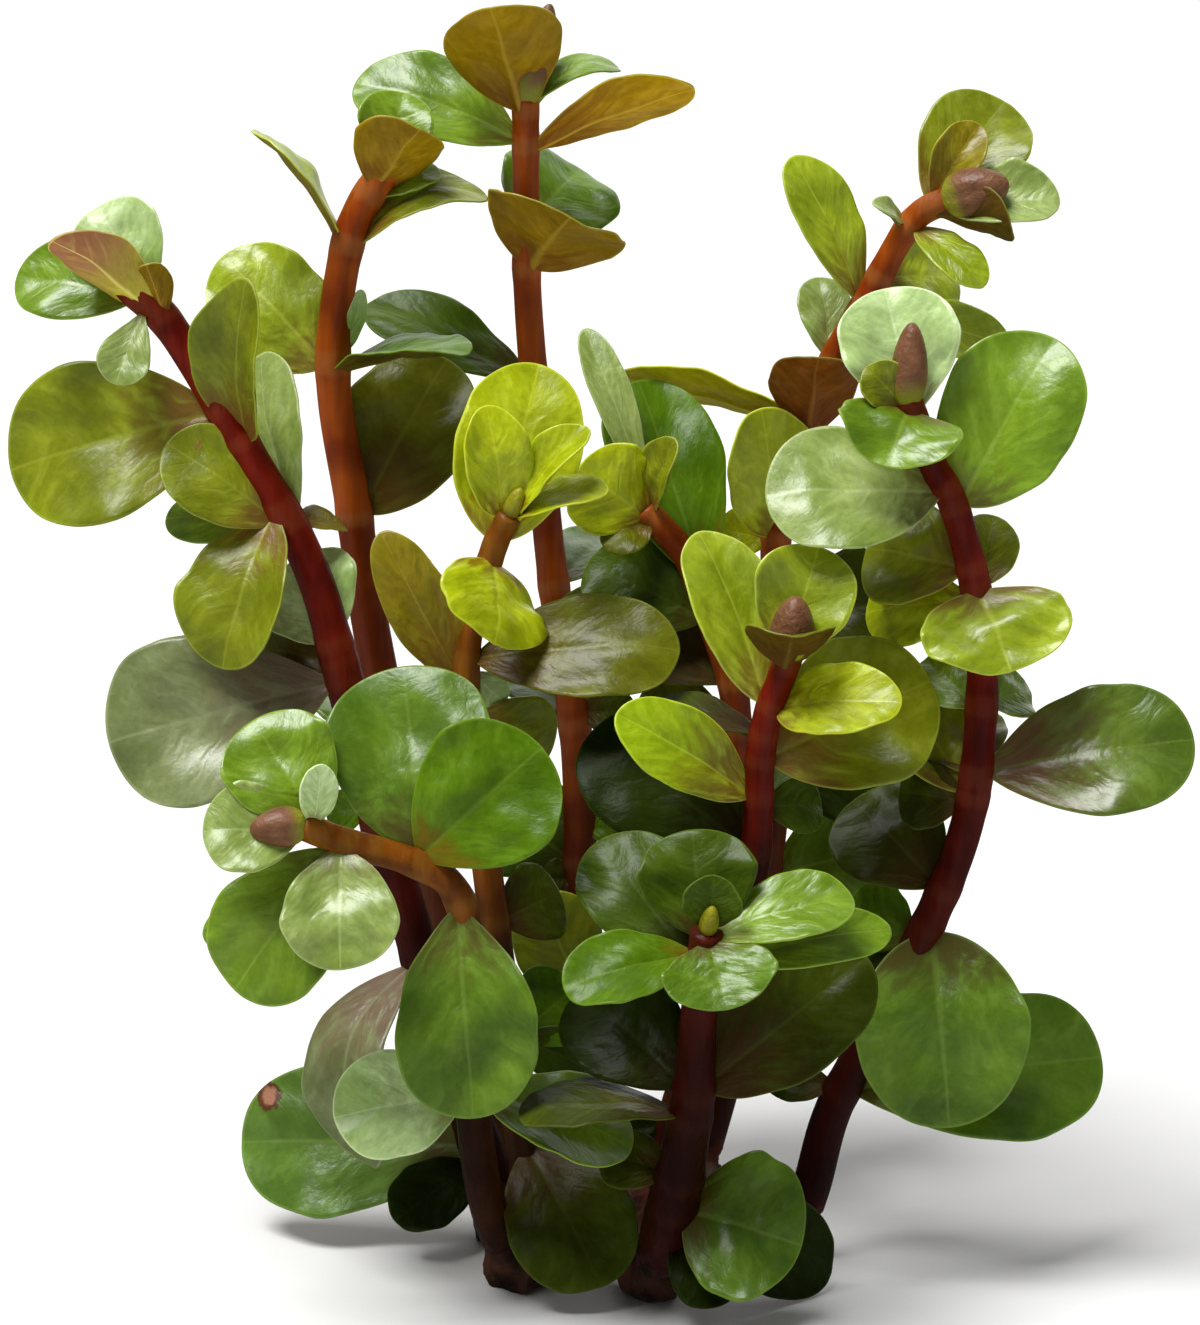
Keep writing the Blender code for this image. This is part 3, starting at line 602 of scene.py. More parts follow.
# %% Shoot: left
add_shoot(
    "left",
    route=[(-8, 1, 0), (-9.5, 0, 7), (-12.5, -3, 18), (-15, -5, 28), (-18, -6, 39), (-20.5, -6, 50),
           (-23, -5, 58), (-28, -4, 67), (-33.5, -3, 76), (-37, -3, 79.5)],
    foot_radius=1.7,
    tip_radius=1.2,
    bud=Bud((-2.5, -0.5, 2.5), 2),
    leaves=[
        young("rosy", 3.2, (-7.4, -4, 6.3), (0.3, 1, 0.3), 5, cup=0.4, wedge=0.05),
        young("green", 1.5, (-10, 3, 1.2), (0, -1, 0.5), 6.6, cup=0.2),
        young("glare_pale", 2, (-3.8, 3, 7), (0, -1, 0.3), 7.4, cup=0.25),
        young("pale", 2.5, (-2.3, -4, -5.7), (0, -1, 0.4), 4.2, cup=0.3, wedge=0.9),
        young("bronze", 4, (-1, -2, 4.5), (0, 1, 0.5), 2.5, cup=0.4),
        big("olive", 12.5, (-17, 1, -4.9), (-0.1, -1, 0.35), 12.9, wedge=0.25),
        big("olive", 15.5, (0.7, -5, 13.3), (-0.8, -1, 0), 7, cup=0.5, wedge=0.02),
        big("olive", 21.5, (-4.6, -5, -11.6), (-0.5, -1, 0.2), 9.4, cup=0.4),
        young("green", 22.5, (-10.2, 5, -0.7), (0, -1, 0.5), 4.6, wedge=0.1),
        young("olive", 22.5, (-9.2, -0.5, 6.2), (0, -1, 0.5), 7.4, cup=0.2),
        young("pale", 23, (-2.8, 6, 12.8), (-0.6, -1, 0.2), 6.6),
        young("bronze", 23, (4, 4, -0.5), (0, -0.6, 1), 3.5),
        young("glare_pale", 33, (-3.5, 5, 6), (-0.2, -1, 0.3), 9),
        young("drab", 34.5, (-9, 5, 0.5), (0, -1, 0.5), 8.5),
        big("ashen", 36, (-18.6, -1, -4.7), (0, -1, 0.35), 13.7, wedge=0.5),
        young("ashen", 60, (-4.7, -3, -16.3), (-0.85, -0.9, 0.2), 9.4, arch=0.31),
        big("scarred", 78, (-20, 3, -0.6), (0, -1, 0.45), 12.5, wedge=0.35),
        young("shade", 79.5, (-7, -6, -3), (0, -1, 0.8), 6),
        young("moss", 48, (3, 9, 2), (0, -0.3, 1), 7.5),
    ],
)

# %% [markdown]
# The tall brick-red shoot beside it, with narrow leaves near the tip.

# %% Shoot: back_left
add_shoot(
    "back_left",
    route=[(-4.5, 5, 0), (-8.5, 8, 11), (-13, 10, 26), (-17, 10, 40), (-19, 9, 51), (-20, 8, 59.5),
           (-21.5, 7, 71), (-20, 6, 82), (-17, 6, 87.5)],
    foot_radius=1.8,
    tip_radius=1.2,
    bud=Bud((1, 0, 4.5), 2),
    leaves=[
        young("green", 0, (1.5, 2.5, 5.8), (0, -1, 0.2), 6, cup=0.3),
        young("bronze", 2, (3.9, -3, 5.2), (-0.3, 1, 0.4), 7.6, cup=0.4),
        young("green", 2.5, (5.5, 1.5, 2), (0, -0.5, 1), 4),
        big("fresh", 6.5, (-7.2, 0, 9), (0.7, 0.02, 0.7), 8, cup=0.12),
        big("olive", 7, (10.9, 2.5, 4.2), (0, -0.5, 1), 5.8, arch=0.2, cup=0.15),
        young("glare_pale", 16, (2.5, -0.5, 5.2), (0.6, -1, 0), 1.8, wedge=0.1),
        big("fresh", 17, (-9, 3, 8.6), (0, -1, 0.35), 9.4, cup=0.12, wedge=0.1),
        big("leafy", 17, (11, -5, 2.3), (0, -0.1, 1), 8.6, arch=0.04, cup=0.2, wedge=0),
        big("drab", 29.5, (7.4, 4, 12.4), (-0.1, -1, 0.2), 10.9, cup=0.12, wedge=0.15),
        young("moss", 50, (-5, 8.5, 4), (0, -0.3, 1), 8.5),
        young("deep", 61, (-0.5, 9.5, 2.5), (0, -0.3, 1), 8),
        young("deep", 74, (-4, 8, 1), (0, -0.2, 1), 7.5),
    ],
)

# %% [markdown]
# The highest shoot. Three of its top leaves show their bronze undersides.

# %% Shoot: back
add_shoot(
    "back",
    route=[(0, 10, 0), (-0.5, 14, 12), (-1.5, 16, 24.5), (-2, 16, 38.5), (-4, 16, 53), (-5.5, 15, 70),
           (-6, 14, 78.5), (-6, 13, 85.5), (-6, 12, 92.5)],
    foot_radius=1.5,
    tip_radius=1.0,
    bud=Bud((2.3, 0.5, 8.6), 3.4),
    leaves=[
        young("green", 0.5, (7.5, 3, 3), (0, -0.5, 1), 3.5, arch=0.2),
        big("bronze", 1, (-2.7, -4.5, 8.7), (0, 1, 0.4), 9.5, cup=0.2),
        big("green", 3.5, (-13.8, 2, 4.9), (0, -1, 0.9), 8.1, arch=0.06, cup=0.15),
        big("amber", 4, (13.5, 0, 5.1), (-0.1, 0.8, 0.9), 6.3, arch=0.02, cup=0.15),
        young("moss", 10.5, (4.6, 6.5, 4.2), (-0.1, -1, 0.3), 10.6, wedge=0.1),
        big("bronze", 14, (3.7, -6.5, 5), (0.2, 1, 0.9), 12, arch=0.1, cup=0.2, wedge=0.15),
        big("deep", 23.5, (-13.8, 3, 6.3), (0, -0.6, 1), 7.2, arch=0.01),
        young("deep", 65, (-8, 1, 5), (0, -1, 0.4), 9.5),
        young("olive", 77, (-4.5, -1, 9.5), (0.2, -1, 0.2), 8),
        young("moss", 41, (5.5, 9, 3), (0, -0.3, 1), 8),
        young("deep", 53, (-4, 9, 3.5), (0, -0.3, 1), 8.5),
        young("deep", 70, (5, 8.5, 2), (0, -0.2, 1), 8.5),
    ],
)

# %% [markdown]
# A short shoot with lime leaves round its tip.

# %% Shoot: mid_left
add_shoot(
    "mid_left",
    route=[(-4.5, -8, 0), (-6.5, -9, 13.5), (-8, -9, 26.5), (-9.5, -8, 39), (-10.5, -7, 50),
           (-8.5, -7, 58.5), (-7, -8, 62)],
    foot_radius=1.4,
    tip_radius=0.9,
    bud=Bud((1, -0.5, 2.5), 1.8),
    leaves=[
        young("lime", 0, (6, -1, 7), (-0.8, -0.8, 0.6), 4, cup=0.6),
        young("lime", 0, (7.5, -1, 2.5), (0, -0.5, 1), 4, cup=0.2),
        young("lime", 0.5, (-1.5, -0.5, 9), (0.3, -1, 0.1), 5.4, cup=0.3, wedge=0.05),
        big("lime", 2.8, (3.4, 4, 13.6), (0, -1, 0.1), 10, cup=0.12, wedge=0.1),
        big("lime", 4.2, (0.8, -6, -5.2), (0.8, -0.5, 0.8), 10.4, cup=-0.15, wedge=0.1),
        big("drab", 12.3, (16.5, -3, 1.6), (0, -1, 0.8), 9.1, wedge=0.35),
        young("glare_pale", 13.5, (3, 1, -2.6), (0, -1, 0.3), 3),
        big("bronze", 14.2, (-6.6, 0.6, 11.8), (0.1, -1, 0.1), 5.3, wedge=0.08),
        young("olive", 17, (6.5, 2, -3.5), (0, -1, 0.4), 7),
        young("dusky", 33.5, (5.2, 3, 1.8), (0, -1, 0.3), 6.5),
        young("leafy", 43, (5.5, 3, 3.5), (0, -1, 0.3), 7),
        big("dusky", 52, (6.3, -9, -8.4), (0.2, -1, 0.4), 10.4),
    ],
)

# %% [markdown]
# The shoot behind the middle, half hidden.

# %% Shoot: mid
add_shoot(
    "mid",
    route=[(3.5, 4, 0), (7.5, 3, 14.5), (10, 2, 28.5), (11, 2, 43.5), (9.5, 2, 50), (7, 3, 56.5),
           (3.5, 3, 60.5)],
    foot_radius=1.5,
    tip_radius=1.0,
    bud=Bud((-2, -0.5, 1.5), 1.8),
    leaves=[
        young("lime", 0.5, (-5.5, -2, 4), (0, -1, 0.3), 8, cup=0.15),
        young("pale", 0.5, (-5, 4, 14.5), (0.2, -1, 0.2), 3.3, cup=0.3, wedge=0.6),
        young("olive", 0.5, (2, -3, 6.5), (-0.9, -0.6, 0), 4, cup=0.5),
        young("drab", 1, (-3.5, -3, -2), (-0.5, -1, 0.6), 4),
        big("leafy", 7.5, (-4.8, 6.6, 15.6), (0.2, -1, 0.3), 9.5),
        young("deep", 10.5, (-10, 2, 4), (0, -1, 0.5), 8.5),
        young("dusky", 16, (-14, 7, 5.5), (0, -0.8, 0.8), 9),
        young("drab", 20, (-8.5, 3, 0), (0, -1, 0.5), 8.5),
        young("deep", 27, (5, 8.5, 4), (0, -0.3, 1), 8),
        young("deep", 40, (-3, 6.5, 3), (0, -0.3, 1), 7),
    ],
)

# %% [markdown]
# The shoot right of the middle, with a dark red bud between yellow-green leaves.

# %% Shoot: mid_right
add_shoot(
    "mid_right",
    route=[(4, -6, 0), (7, -9, 13.5), (10, -11, 24.5), (12, -13, 35.5), (12.5, -14, 45.5),
           (14.5, -15, 52.5)],
    foot_radius=1.5,
    tip_radius=1.0,
    bud=Bud((0.5, -0.8, 5.2), 4.2),
    leaves=[
        young("fresh", 0.5, (2.4, 2, 8.4), (-0.1, -1, 0.2), 8, cup=0.35),
        young("drab", 1, (0.3, -4.8, 3.6), (0, 1, 0.8), 6.8, cup=0.35),
        big("fresh", 4.5, (-5.4, 3, 13.1), (0.5, -1, 0.2), 7.3, cup=0.2, wedge=0.15),
        big("lime", 4.5, (9.7, -4, 1.2), (0, -0.9, 0.8), 6.4, cup=0.2, wedge=0),
        young("dusky", 7, (-9.5, 5, 1.5), (0, -0.4, 1), 4.5),
        big("olive", 9, (13.5, 4, 5.5), (-0.1, -1, 0.35), 12, wedge=0.2),
        big("flushed", 12, (-10.7, -4, 7.5), (0, -1, 0.6), 6.4, cup=0.15),
        young("shade", 16.5, (-13, 4, 8.5), (0, -1, 0.5), 10.5),
    ],
)

# %% [markdown]
# The lowest shoot, in front, with a rosette of young leaves.

# %% Shoot: front
add_shoot(
    "front",
    route=[(4, -12, 0), (5.5, -17, 7.5), (7, -21, 18), (7.5, -24, 27), (8, -26, 33.5)],
    foot_radius=2.2,
    tip_radius=1.1,
    bud=Bud((0.5, -1, 2.5), 1.8),
    leaves=[
        young("deep", 0, (0.5, -1, 4.5), (0, -0.8, 0.3), 4.5, cup=0.4),
        big("green", 0.5, (11, 1, 3), (-0.2, -0.8, 1), 6.5, cup=0.2),
        big("moss", 0.5, (1.5, -5, -4), (0, -1, 0.8), 8.5, cup=0.2),
        young("deep", 1, (-1, 3, 8), (0, -1, 0.5), 9, cup=0.2),
        big("leafy", 2, (-10.5, -4, -1.3), (0, -0.8, 1), 6.5, cup=0.2),
        young("deep", 3.5, (-8, 6.5, 8.4), (0.2, -1, 0.3), 8.5, cup=0.15),
        young("green", 3, (14.5, 4, 2), (0, -1, 0.7), 4.5),
        big("dusky", 14.5, (13.3, 2, 10), (0, -1, 0.4), 9.5, wedge=0.15),
        young("shade", 14.6, (-8.8, 7.4, 6.2), (0, -1, 0.5), 9.4),
        big("dusky", 16.9, (-13, -2.8, 1.1), (0, -0.12, 1), 8.4, arch=0.08),
        young("dusky", 23, (-6, 3, 1), (0, -1, 0.6), 5),
        big("moss", 26, (9.8, -3, -2), (-0.1, -1, 0.6), 12, cup=0.15, wedge=0.15),
        young("shade", 28, (13.5, 5, -5), (0, -1, 0.5), 8),
        young("shade", 28.5, (4.5, -4, -4.5), (0, -1, 1), 6),
    ],
)

# %% [markdown]
# The shoot at the back right, with a round brown bud.

# %% Shoot: back_right
add_shoot(
    "back_right",
    route=[(7.5, 10, 0), (11.5, 13, 14), (14, 14, 28.5), (15, 13, 43.5), (14.5, 12, 57), (16.5, 11, 63),
           (18.5, 10, 70.5), (21.5, 9, 76.5), (25, 8, 83), (28, 7, 85)],
    foot_radius=1.5,
    tip_radius=1.0,
    bud=Bud((5, -2.2, 1.6), 4.8),
    leaves=[
        young("pale", 1, (9.4, -1.5, 0.5), (0, -0.9, 0.8), 6, cup=0.4),
        big("olive", 2, (6.5, 5.5, 8.2), (-0.1, -1, 0.35), 8.8, cup=0.2),
        young("bronze", 1.5, (3.5, 1, 6.5), (-0.2, -1, 0.1), 4, cup=0.6),
        young("drab", 1.5, (6.2, -4, -1.4), (0, 1, 0.7), 5, cup=0.3),
        young("pale", 4.2, (-2.9, -2, 2.2), (0, -0.8, 1), 2, cup=0.3),
        young("fresh", 4, (5.5, -5, -4.2), (0.3, -1, 0.8), 4.2, cup=0.15),
        young("fresh", 9, (6.8, 6, -0.8), (0, -1, 0.4), 6.8),
        big("fresh", 11.5, (-5.8, 0, 11.9), (0.5, -1, 0.2), 5.5, cup=0.15),
        young("fresh", 12, (13, 5, -3.9), (0, -1, 0.5), 4.8),
        young("pale", 17, (-0.9, 4, 6.5), (0.2, -1, 0.1), 4.6),
        big("lime", 22.3, (-16, 1.8, 4.0), (0, 0.6, 1), 6, arch=0, cup=0.15),
        big("russet", 23.5, (0.4, -5.5, 7.5), (0, 1, 0.4), 7.4, cup=0.15),
        big("lime", 32.5, (-1.4, -5, 11.1), (0.4, -1, 0.1), 8.2, cup=0.15, wedge=0.1),
        young("green", 62, (10, 2, 1.5), (0, -1, 0.5), 9),
        young("dusky", 40, (11, -1, 2), (0, -1, 0.4), 10),
        young("shade", 53, (10.5, -1, 0), (0, -1, 0.4), 9),
        young("moss", 44, (3, 9.5, 4), (0, -0.3, 1), 8.5),
        young("deep", 56, (-5, 8.5, 3.5), (0, -0.3, 1), 8.5),
    ],
)

# %% [markdown]
# The shoot at the right, with broad leaves down to the ground and a pointed bud.

# %% Shoot: right
add_shoot(
    "right",
    route=[(15, -4, 0), (17, -5, 6), (18.5, -6, 12.5), (21, -8, 19), (25.5, -10, 29), (28.5, -11, 37.5),
           (29.5, -11, 45), (29.5, -10, 54), (27.5, -10, 62.5), (25.5, -10, 66.5), (23.5, -11, 71.5)],
    foot_radius=1.55,
    tip_radius=1.0,
    bud=Bud((0.3, -0.5, 6.8), 3.4),
    leaves=[
        young("olive", 0.5, (-3.4, -1, 3), (0.3, -1, 0.1), 3.8, cup=0.4),
        young("green", 0.7, (-2, -5, -3.5), (0, -1, 0.7), 9.5, cup=0.3, wedge=0.05),
        young("glare_pale", 1.5, (-2.2, 3, 9.5), (0, -1, 0.3), 9.3, cup=0.3),
        big("pale", 8, (-14, -2, 0), (0, -1, 0.8), 11),
        big("green", 9.5, (7.5, 1, 13), (-0.3, -1, 0.2), 11.1, cup=0.12, wedge=0.15),
        young("olive", 14.5, (-8, 4, 1), (0, -1, 0.5), 9),
        young("olive", 16, (1.7, 4, 5), (0, -1, 0.3), 5, wedge=0.1),
        big("fresh", 16.2, (2.3, -6, -5), (0, -0.8, 1), 12.1, wedge=0.1),
        young("lime", 17, (-8.5, 5, -2), (0, -1, 0.4), 6.5),
        young("green", 25, (4.3, 5, -0.2), (0, -1, 0.4), 4.2),
        young("green", 25.5, (-4.2, 4, 3.2), (0.2, -1, 0.2), 5),
        big("blushed", 30.5, (16.7, -1, 2.9), (0, -1, 0.5), 10.5, wedge=0.35),
        young("olive", 32.5, (-5, 6, 6.5), (0.3, -1, 0.2), 7.5),
        young("dusky", 40.5, (-7, 5, 6), (0.2, -1, 0.3), 9.5),
        big("moss", 44, (1.8, -4, -15.2), (0, -1, 0.35), 13.4, cup=0.12, wedge=0.02),
        young("leafy", 45.5, (-5.5, 3, 2.5), (0, -1, 0.4), 6),
        big("moss", 60, (21.3, 3, 2), (0.1, -1, 0.5), 12.2, wedge=0.4),
        young("drab", 31, (-2, 9.5, 3), (0, -0.3, 1), 8.5),
        young("shade", 52, (-4, 9.5, 1), (0, -0.3, 1), 8.5),
    ],
)

# %% [markdown]
# The front left shoot, whose tip bends over to the left.

# %% Shoot: front_left
add_shoot(
    "front_left",
    route=[(-6.5, -10, 0), (-9, -14, 8.5), (-10, -17, 19), (-10, -19, 29.5), (-11, -20, 35),
           (-14, -21, 37.5), (-19.5, -22, 39.5), (-22.5, -23, 41)],
    foot_radius=1.5,
    tip_radius=1.0,
    bud=Bud((-4.3, -1, -0.2), 3.7),
    leaves=[
        young("pale", 0.5, (-7.7, -1, 0), (0, -1, 0.6), 7.2, cup=0.2),
        young("glare_pale", 0.8, (1, -2, 5.3), (0.3, -1, 0.1), 3, cup=0.2),
        young("green", 1.5, (-5, 3, 8), (0.1, -1, 0.5), 9, cup=0.15),
        big("pale", 3.5, (0.1, -5, -8.6), (0, -1, 0.5), 8.9, cup=0.12),
        big("green", 4, (-8.8, -1, -11.3), (-0.2, -1, 0.4), 10.3, cup=0.12),
        young("green", 6, (-13.8, 5.5, -8.6), (0, -1, 0.4), 4),
        big("leafy", 9.5, (9.5, 0, 9), (-0.2, -1, 0.2), 11.5, cup=0.12),
        big("moss", 10, (-1.5, 5, 14.5), (0, -1, 0.15), 13, cup=0.15),
        big("moss", 14.5, (1, -4, -16), (0, -1, 0.3), 11, cup=0.15, wedge=0.35),
        big("glare_pale", 31, (-10.5, -3, -1), (0, -1, 0.5), 8.5),
        big("green", 31, (12.5, -1.5, -3.8), (0, -0.55, 1), 8.5),
    ],
)

# %% [markdown]
# ## Route of a stem
#
# A stem bends softly from joint to joint. A curve object could draw it, but leaves and rings have to
# sit exactly on it. So the line is worked out here, and a reader walks along it and gives the
# place, the direction and the radius at any length above the foot.

# %% Smooth route
ROUTE_STEPS = 8


def smooth_route(points):
    """Points on a smooth curve that passes through the given ones."""
    points = [Vector(p) for p in points]
    ends = [2 * points[0] - points[1], *points, 2 * points[-1] - points[-2]]
    route = []
    for a, b, c, d in zip(ends, ends[1:], ends[2:], ends[3:]):
        for step in range(ROUTE_STEPS):
            t = step / ROUTE_STEPS
            pull = (2 * a - 5 * b + 4 * c - d) * t**2 + (3 * b - a - 3 * c + d) * t**3
            route.append(0.5 * (2 * b + (c - a) * t + pull))
    return [*route, points[-1]]


class Stem:
    """The middle line of a shoot, read by how far along it a point lies."""

    def __init__(self, shoot):
        self.shoot = shoot
        self.points = smooth_route(shoot.route)
        self.lengths = [0.0]
        for a, b in zip(self.points, self.points[1:]):
            self.lengths.append(self.lengths[-1] + (b - a).length)
        self.total = self.lengths[-1]

    def at(self, length):
        """Point, direction and radius at this length above the foot, or at the nearer end."""
        length = min(max(length, 0.0), self.total)
        i = next(i for i in range(1, len(self.lengths)) if self.lengths[i] >= length)
        a, b = self.points[i - 1], self.points[i]
        part = (length - self.lengths[i - 1]) / (self.lengths[i] - self.lengths[i - 1])
        share = length / self.total
        radius = self.shoot.foot_radius + share * (self.shoot.tip_radius - self.shoot.foot_radius)
        return a.lerp(b, part), (b - a).normalized(), radius


stems = {name: Stem(shoot) for name, shoot in SHOOTS.items()}
for name, stem in stems.items():
    print(name, "stem:", round(stem.total, 1), "mm")

# %% [markdown]
# ## A leaf blade
#
# A leaf could be a flat card, but its edge and its underside show here. So a blade starts as a flat
# grid. Its square is drawn in to a disc, the disc is stretched to the leaf's length and pinched to
# its foot, and then it is arched, cupped, curled and gently waved. The underside is a copy of the
# grid a little lower, with a keel under the midrib, and the two rims are joined by a bridge, so the
# leaf is one closed, thin-rimmed body.

# %% Outline of a blade
RIM_CROWDING = 1.3
UNEVEN = 0.07
UNEVEN_STEPS = 2.5
UNEVEN_SIDES = 1.5
TRIAL_LEAF = big("green", 0, (12, 0, 0), (0, 0, 1), 10)


def disc_place(u, v):
    """A point of the square grid, moved to the disc: along the leaf and across it, each -1 to 1."""
    u = (1 - (1 - abs(u)) ** RIM_CROWDING) * (1 if u > 0 else -1)
    return u * (1 - v * v / 2) ** 0.5, v * (1 - u * u / 2) ** 0.5


def side_place(leaf, along, across, seed):
    """How far to the side the disc's point comes on the leaf, where 1 is half the leaf's width. The
    wedge moves the widest place towards the tip, and noise makes the two sides differ a little."""
    t = (1 + along) / 2
    widest = (0.5 + leaf.wedge) / (1 + leaf.wedge)
    most = 2 * widest ** (0.5 + leaf.wedge) * (1 - widest) ** 0.5
    half = UNEVEN_SIDES if across > 0 else -UNEVEN_SIDES
    outward = noise.noise(Vector((UNEVEN_STEPS * along, half, seed)))
    return across * max(t, 0) ** leaf.wedge / most * (1 + UNEVEN * outward)


print("halfway out, near the widest line of a leaf:", round(side_place(TRIAL_LEAF, 0.2, 0.5, 1), 2))

# %% Relief of a blade
CURL = 0.125
CURL_START = 0.4
WAVE = 0.07
WAVE_STEPS = 1.6
RIPPLE = 0.5
RIPPLE_STEPS = (3.5, 2)
WAVE_RISE = 2.5
VEIN_DEPTH = 0.022
VEIN_RISE = 3
VEIN_START = 0.1
GROOVE_DEPTH = 0.14
GROOVE_WIDTH = 0.35
GROOVE_FADE = 0.7


def large_form(leaf, length, t, side):
    """Arched along the leaf, cupped across it, and curled down in its outer part."""
    lift = leaf.arch * length * 4 * t * (1 - t) + leaf.cup * leaf.width / 2 * side * side
    return lift - CURL * length * max(0, t - CURL_START) ** 2


def waves(leaf, along, t, side, seed):
    """Slow waves all over and quicker ones near the rim, which die out at the foot."""
    wave = noise.noise(Vector((WAVE_STEPS * along, WAVE_STEPS * side, seed)))
    ripple = noise.noise(Vector((RIPPLE_STEPS[0] * along, RIPPLE_STEPS[1] * side, seed + 9)))
    return WAVE * leaf.width * (wave + RIPPLE * side * side * ripple) * min(1, WAVE_RISE * t)


def side_veins(t, across, side):
    """Shallow furrows along the veins that the finish paints."""
    vein = cos(2 * pi * VEIN_PAIRS * (t - VEIN_SWEEP * abs(across) ** VEIN_BEND))
    shown = min(1, VEIN_RISE * abs(side)) * (1 if t > VEIN_START else 0)
    return VEIN_DEPTH * vein * (1 - side * side) * shown


def blade_point(leaf, length, along, across, seed):
    """A point of the blade's middle surface, in the leaf's own frame."""
    t = (1 + along) / 2
    side = side_place(leaf, along, across, seed)
    aside = side * leaf.width / 2
    lift = large_form(leaf, length, t, side) + waves(leaf, along, t, side, seed)
    lift -= side_veins(t, across, side)
    lift -= GROOVE_DEPTH * exp(-((aside / GROOVE_WIDTH) ** 2)) * (1 - GROOVE_FADE * t)
    return Vector((t * length, aside, lift))


print("middle of a 12 mm leaf:", [round(c, 2) for c in blade_point(TRIAL_LEAF, 12, 0, 0, 1)])

# %% Two sides of a blade
RIM_THICKNESS = 0.13
BLADE_THICKNESS = 0.34
KEEL_HEIGHT = 0.35
KEEL_WIDTH = 0.45


def upper_sheet(made, leaf, length, cells, seed):
    """Makes the grid a leaf with its map, and returns each point's place on the disc."""
    blade_map = made.loops.layers.uv.new("blade")
    bmesh.ops.create_grid(made, x_segments=cells[0], y_segments=cells[1], size=1)
    places = {vert: disc_place(vert.co.x, vert.co.y) for vert in made.verts}
    for face in made.faces:
        for loop in face.loops:
            along, across = places[loop.vert]
            loop[blade_map].uv = ((1 + along) / 2, (1 + across) / 2)
    for vert, (along, across) in places.items():
        vert.co = blade_point(leaf, length, along, across, seed)
    made.normal_update()
    return places


def under_sheet(made, places):
    """Copies the sheet, moves the two apart by the leaf's thickness, and returns the new faces."""
    normals = {vert: vert.normal.copy() for vert in made.verts}
    copied = bmesh.ops.duplicate(made, geom=made.verts[:] + made.edges[:] + made.faces[:])
    for vert, (along, across) in places.items():
        inward = max(0, 1 - along * along - across * across) ** 0.5
        half = (RIM_THICKNESS + (BLADE_THICKNESS - RIM_THICKNESS) * inward) / 2
        keel = KEEL_HEIGHT * exp(-((vert.co.y / KEEL_WIDTH) ** 2)) * (1 - along) / 2
        vert.co += normals[vert] * half
        copied["vert_map"][vert].co -= normals[vert] * (half + keel)
    faces = [item for item in copied["geom"] if isinstance(item, bmesh.types.BMFace)]
    bmesh.ops.reverse_faces(made, faces=faces)
    return faces


print("thickness of a leaf:", RIM_THICKNESS, "mm at its rim,", BLADE_THICKNESS, "mm inside")

# %% A closed blade
GROWN_CELLS = (44, 32)
YOUNG_CELLS = (28, 20)
RIM_SPOT = (1.0, 0.5)


def leaf_turn(leaf, reach):
    """The leaf's own axes as a matrix: along it, across it, and the way its upper side looks."""
    looks = Vector(leaf.looks)
    x_axis = reach.normalized()
    z_axis = (looks - looks.dot(x_axis) * x_axis).normalized()
    return Matrix((x_axis, z_axis.cross(x_axis), z_axis)).transposed()


def make_blade(leaf, foot, tip, cells, seed, first_finish=0):
    """A bmesh of one leaf. Its upper side takes finish first_finish, and its underside the next."""
    reach = tip - foot
    made = bmesh.new()
    places = upper_sheet(made, leaf, reach.length, cells, seed)
    under_faces = under_sheet(made, places)
    bridge = bmesh.ops.bridge_loops(made, edges=[edge for edge in made.edges if edge.is_boundary])
    blade_map = made.loops.layers.uv["blade"]
    for loop in (loop for face in bridge["faces"] for loop in face.loops):
        loop[blade_map].uv = RIM_SPOT
    for face in made.faces:
        face.material_index = first_finish
    for face in under_faces:
        face.material_index = first_finish + 1
    bmesh.ops.recalc_face_normals(made, faces=made.faces)
    place = Matrix.Translation(foot * MM) @ (leaf_turn(leaf, reach) * MM).to_4x4()
    bmesh.ops.transform(made, matrix=place, verts=made.verts)
    return made


trial = make_blade(TRIAL_LEAF, Vector(), Vector(TRIAL_LEAF.reach), GROWN_CELLS, 1)
print("faces of a grown blade:", len(trial.faces), "open edges:", sum(e.is_boundary for e in trial.edges))
trial.free()

# %% [markdown]
# ## Pieces
#
# A finished bmesh becomes an object at the origin, with its place in its mesh. It rides with the
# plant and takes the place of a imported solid. Small shapes that belong together are easier to keep
# as one piece, so a second helper pours one bmesh into another.

# %% From a bmesh to a piece of the plant
pieces = []


def add_piece(name, made, materials, replaced):
    """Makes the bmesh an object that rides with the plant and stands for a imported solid."""
    mesh = bpy.data.meshes.new(name)
    made.to_mesh(mesh)
    made.free()
    for material in materials:
        mesh.materials.append(material)
    mesh.shade_smooth()
    piece = add_object(name, mesh)
    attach(piece, "root")
    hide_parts(replaced)
    pieces.append(piece)


def pour(made, together):
    """Adds the first bmesh to the second and frees it."""
    loose = bpy.data.meshes.new("loose shape")
    made.to_mesh(loose)
    made.free()
    together.from_mesh(loose)
    bpy.data.meshes.remove(loose)


# %% [markdown]
# ## Leaves
#
# Each grown leaf is a piece of its own and stands for its solid. A shoot's young and half-hidden
# leaves are one piece, as they are one solid with the stem. A leaf's foot lies just inside the
# stem, so that leaf and stem grow into each other, and a number of its own gives each leaf waves
# that no other leaf has.

# %% Grown leaves and young leaves
FOOT_INSIDE = 0.45
SEED_STEP = 3.7


def leaf_ends(leaf, stem):
    """The foot of a leaf, inside its stem, and its tip."""
    middle, direction, radius = stem.at(stem.total - leaf.below_tip)
    reach = Vector(leaf.reach)
    side = reach - reach.dot(direction) * direction
    return middle + side.normalized() * radius * FOOT_INSIDE, middle + reach


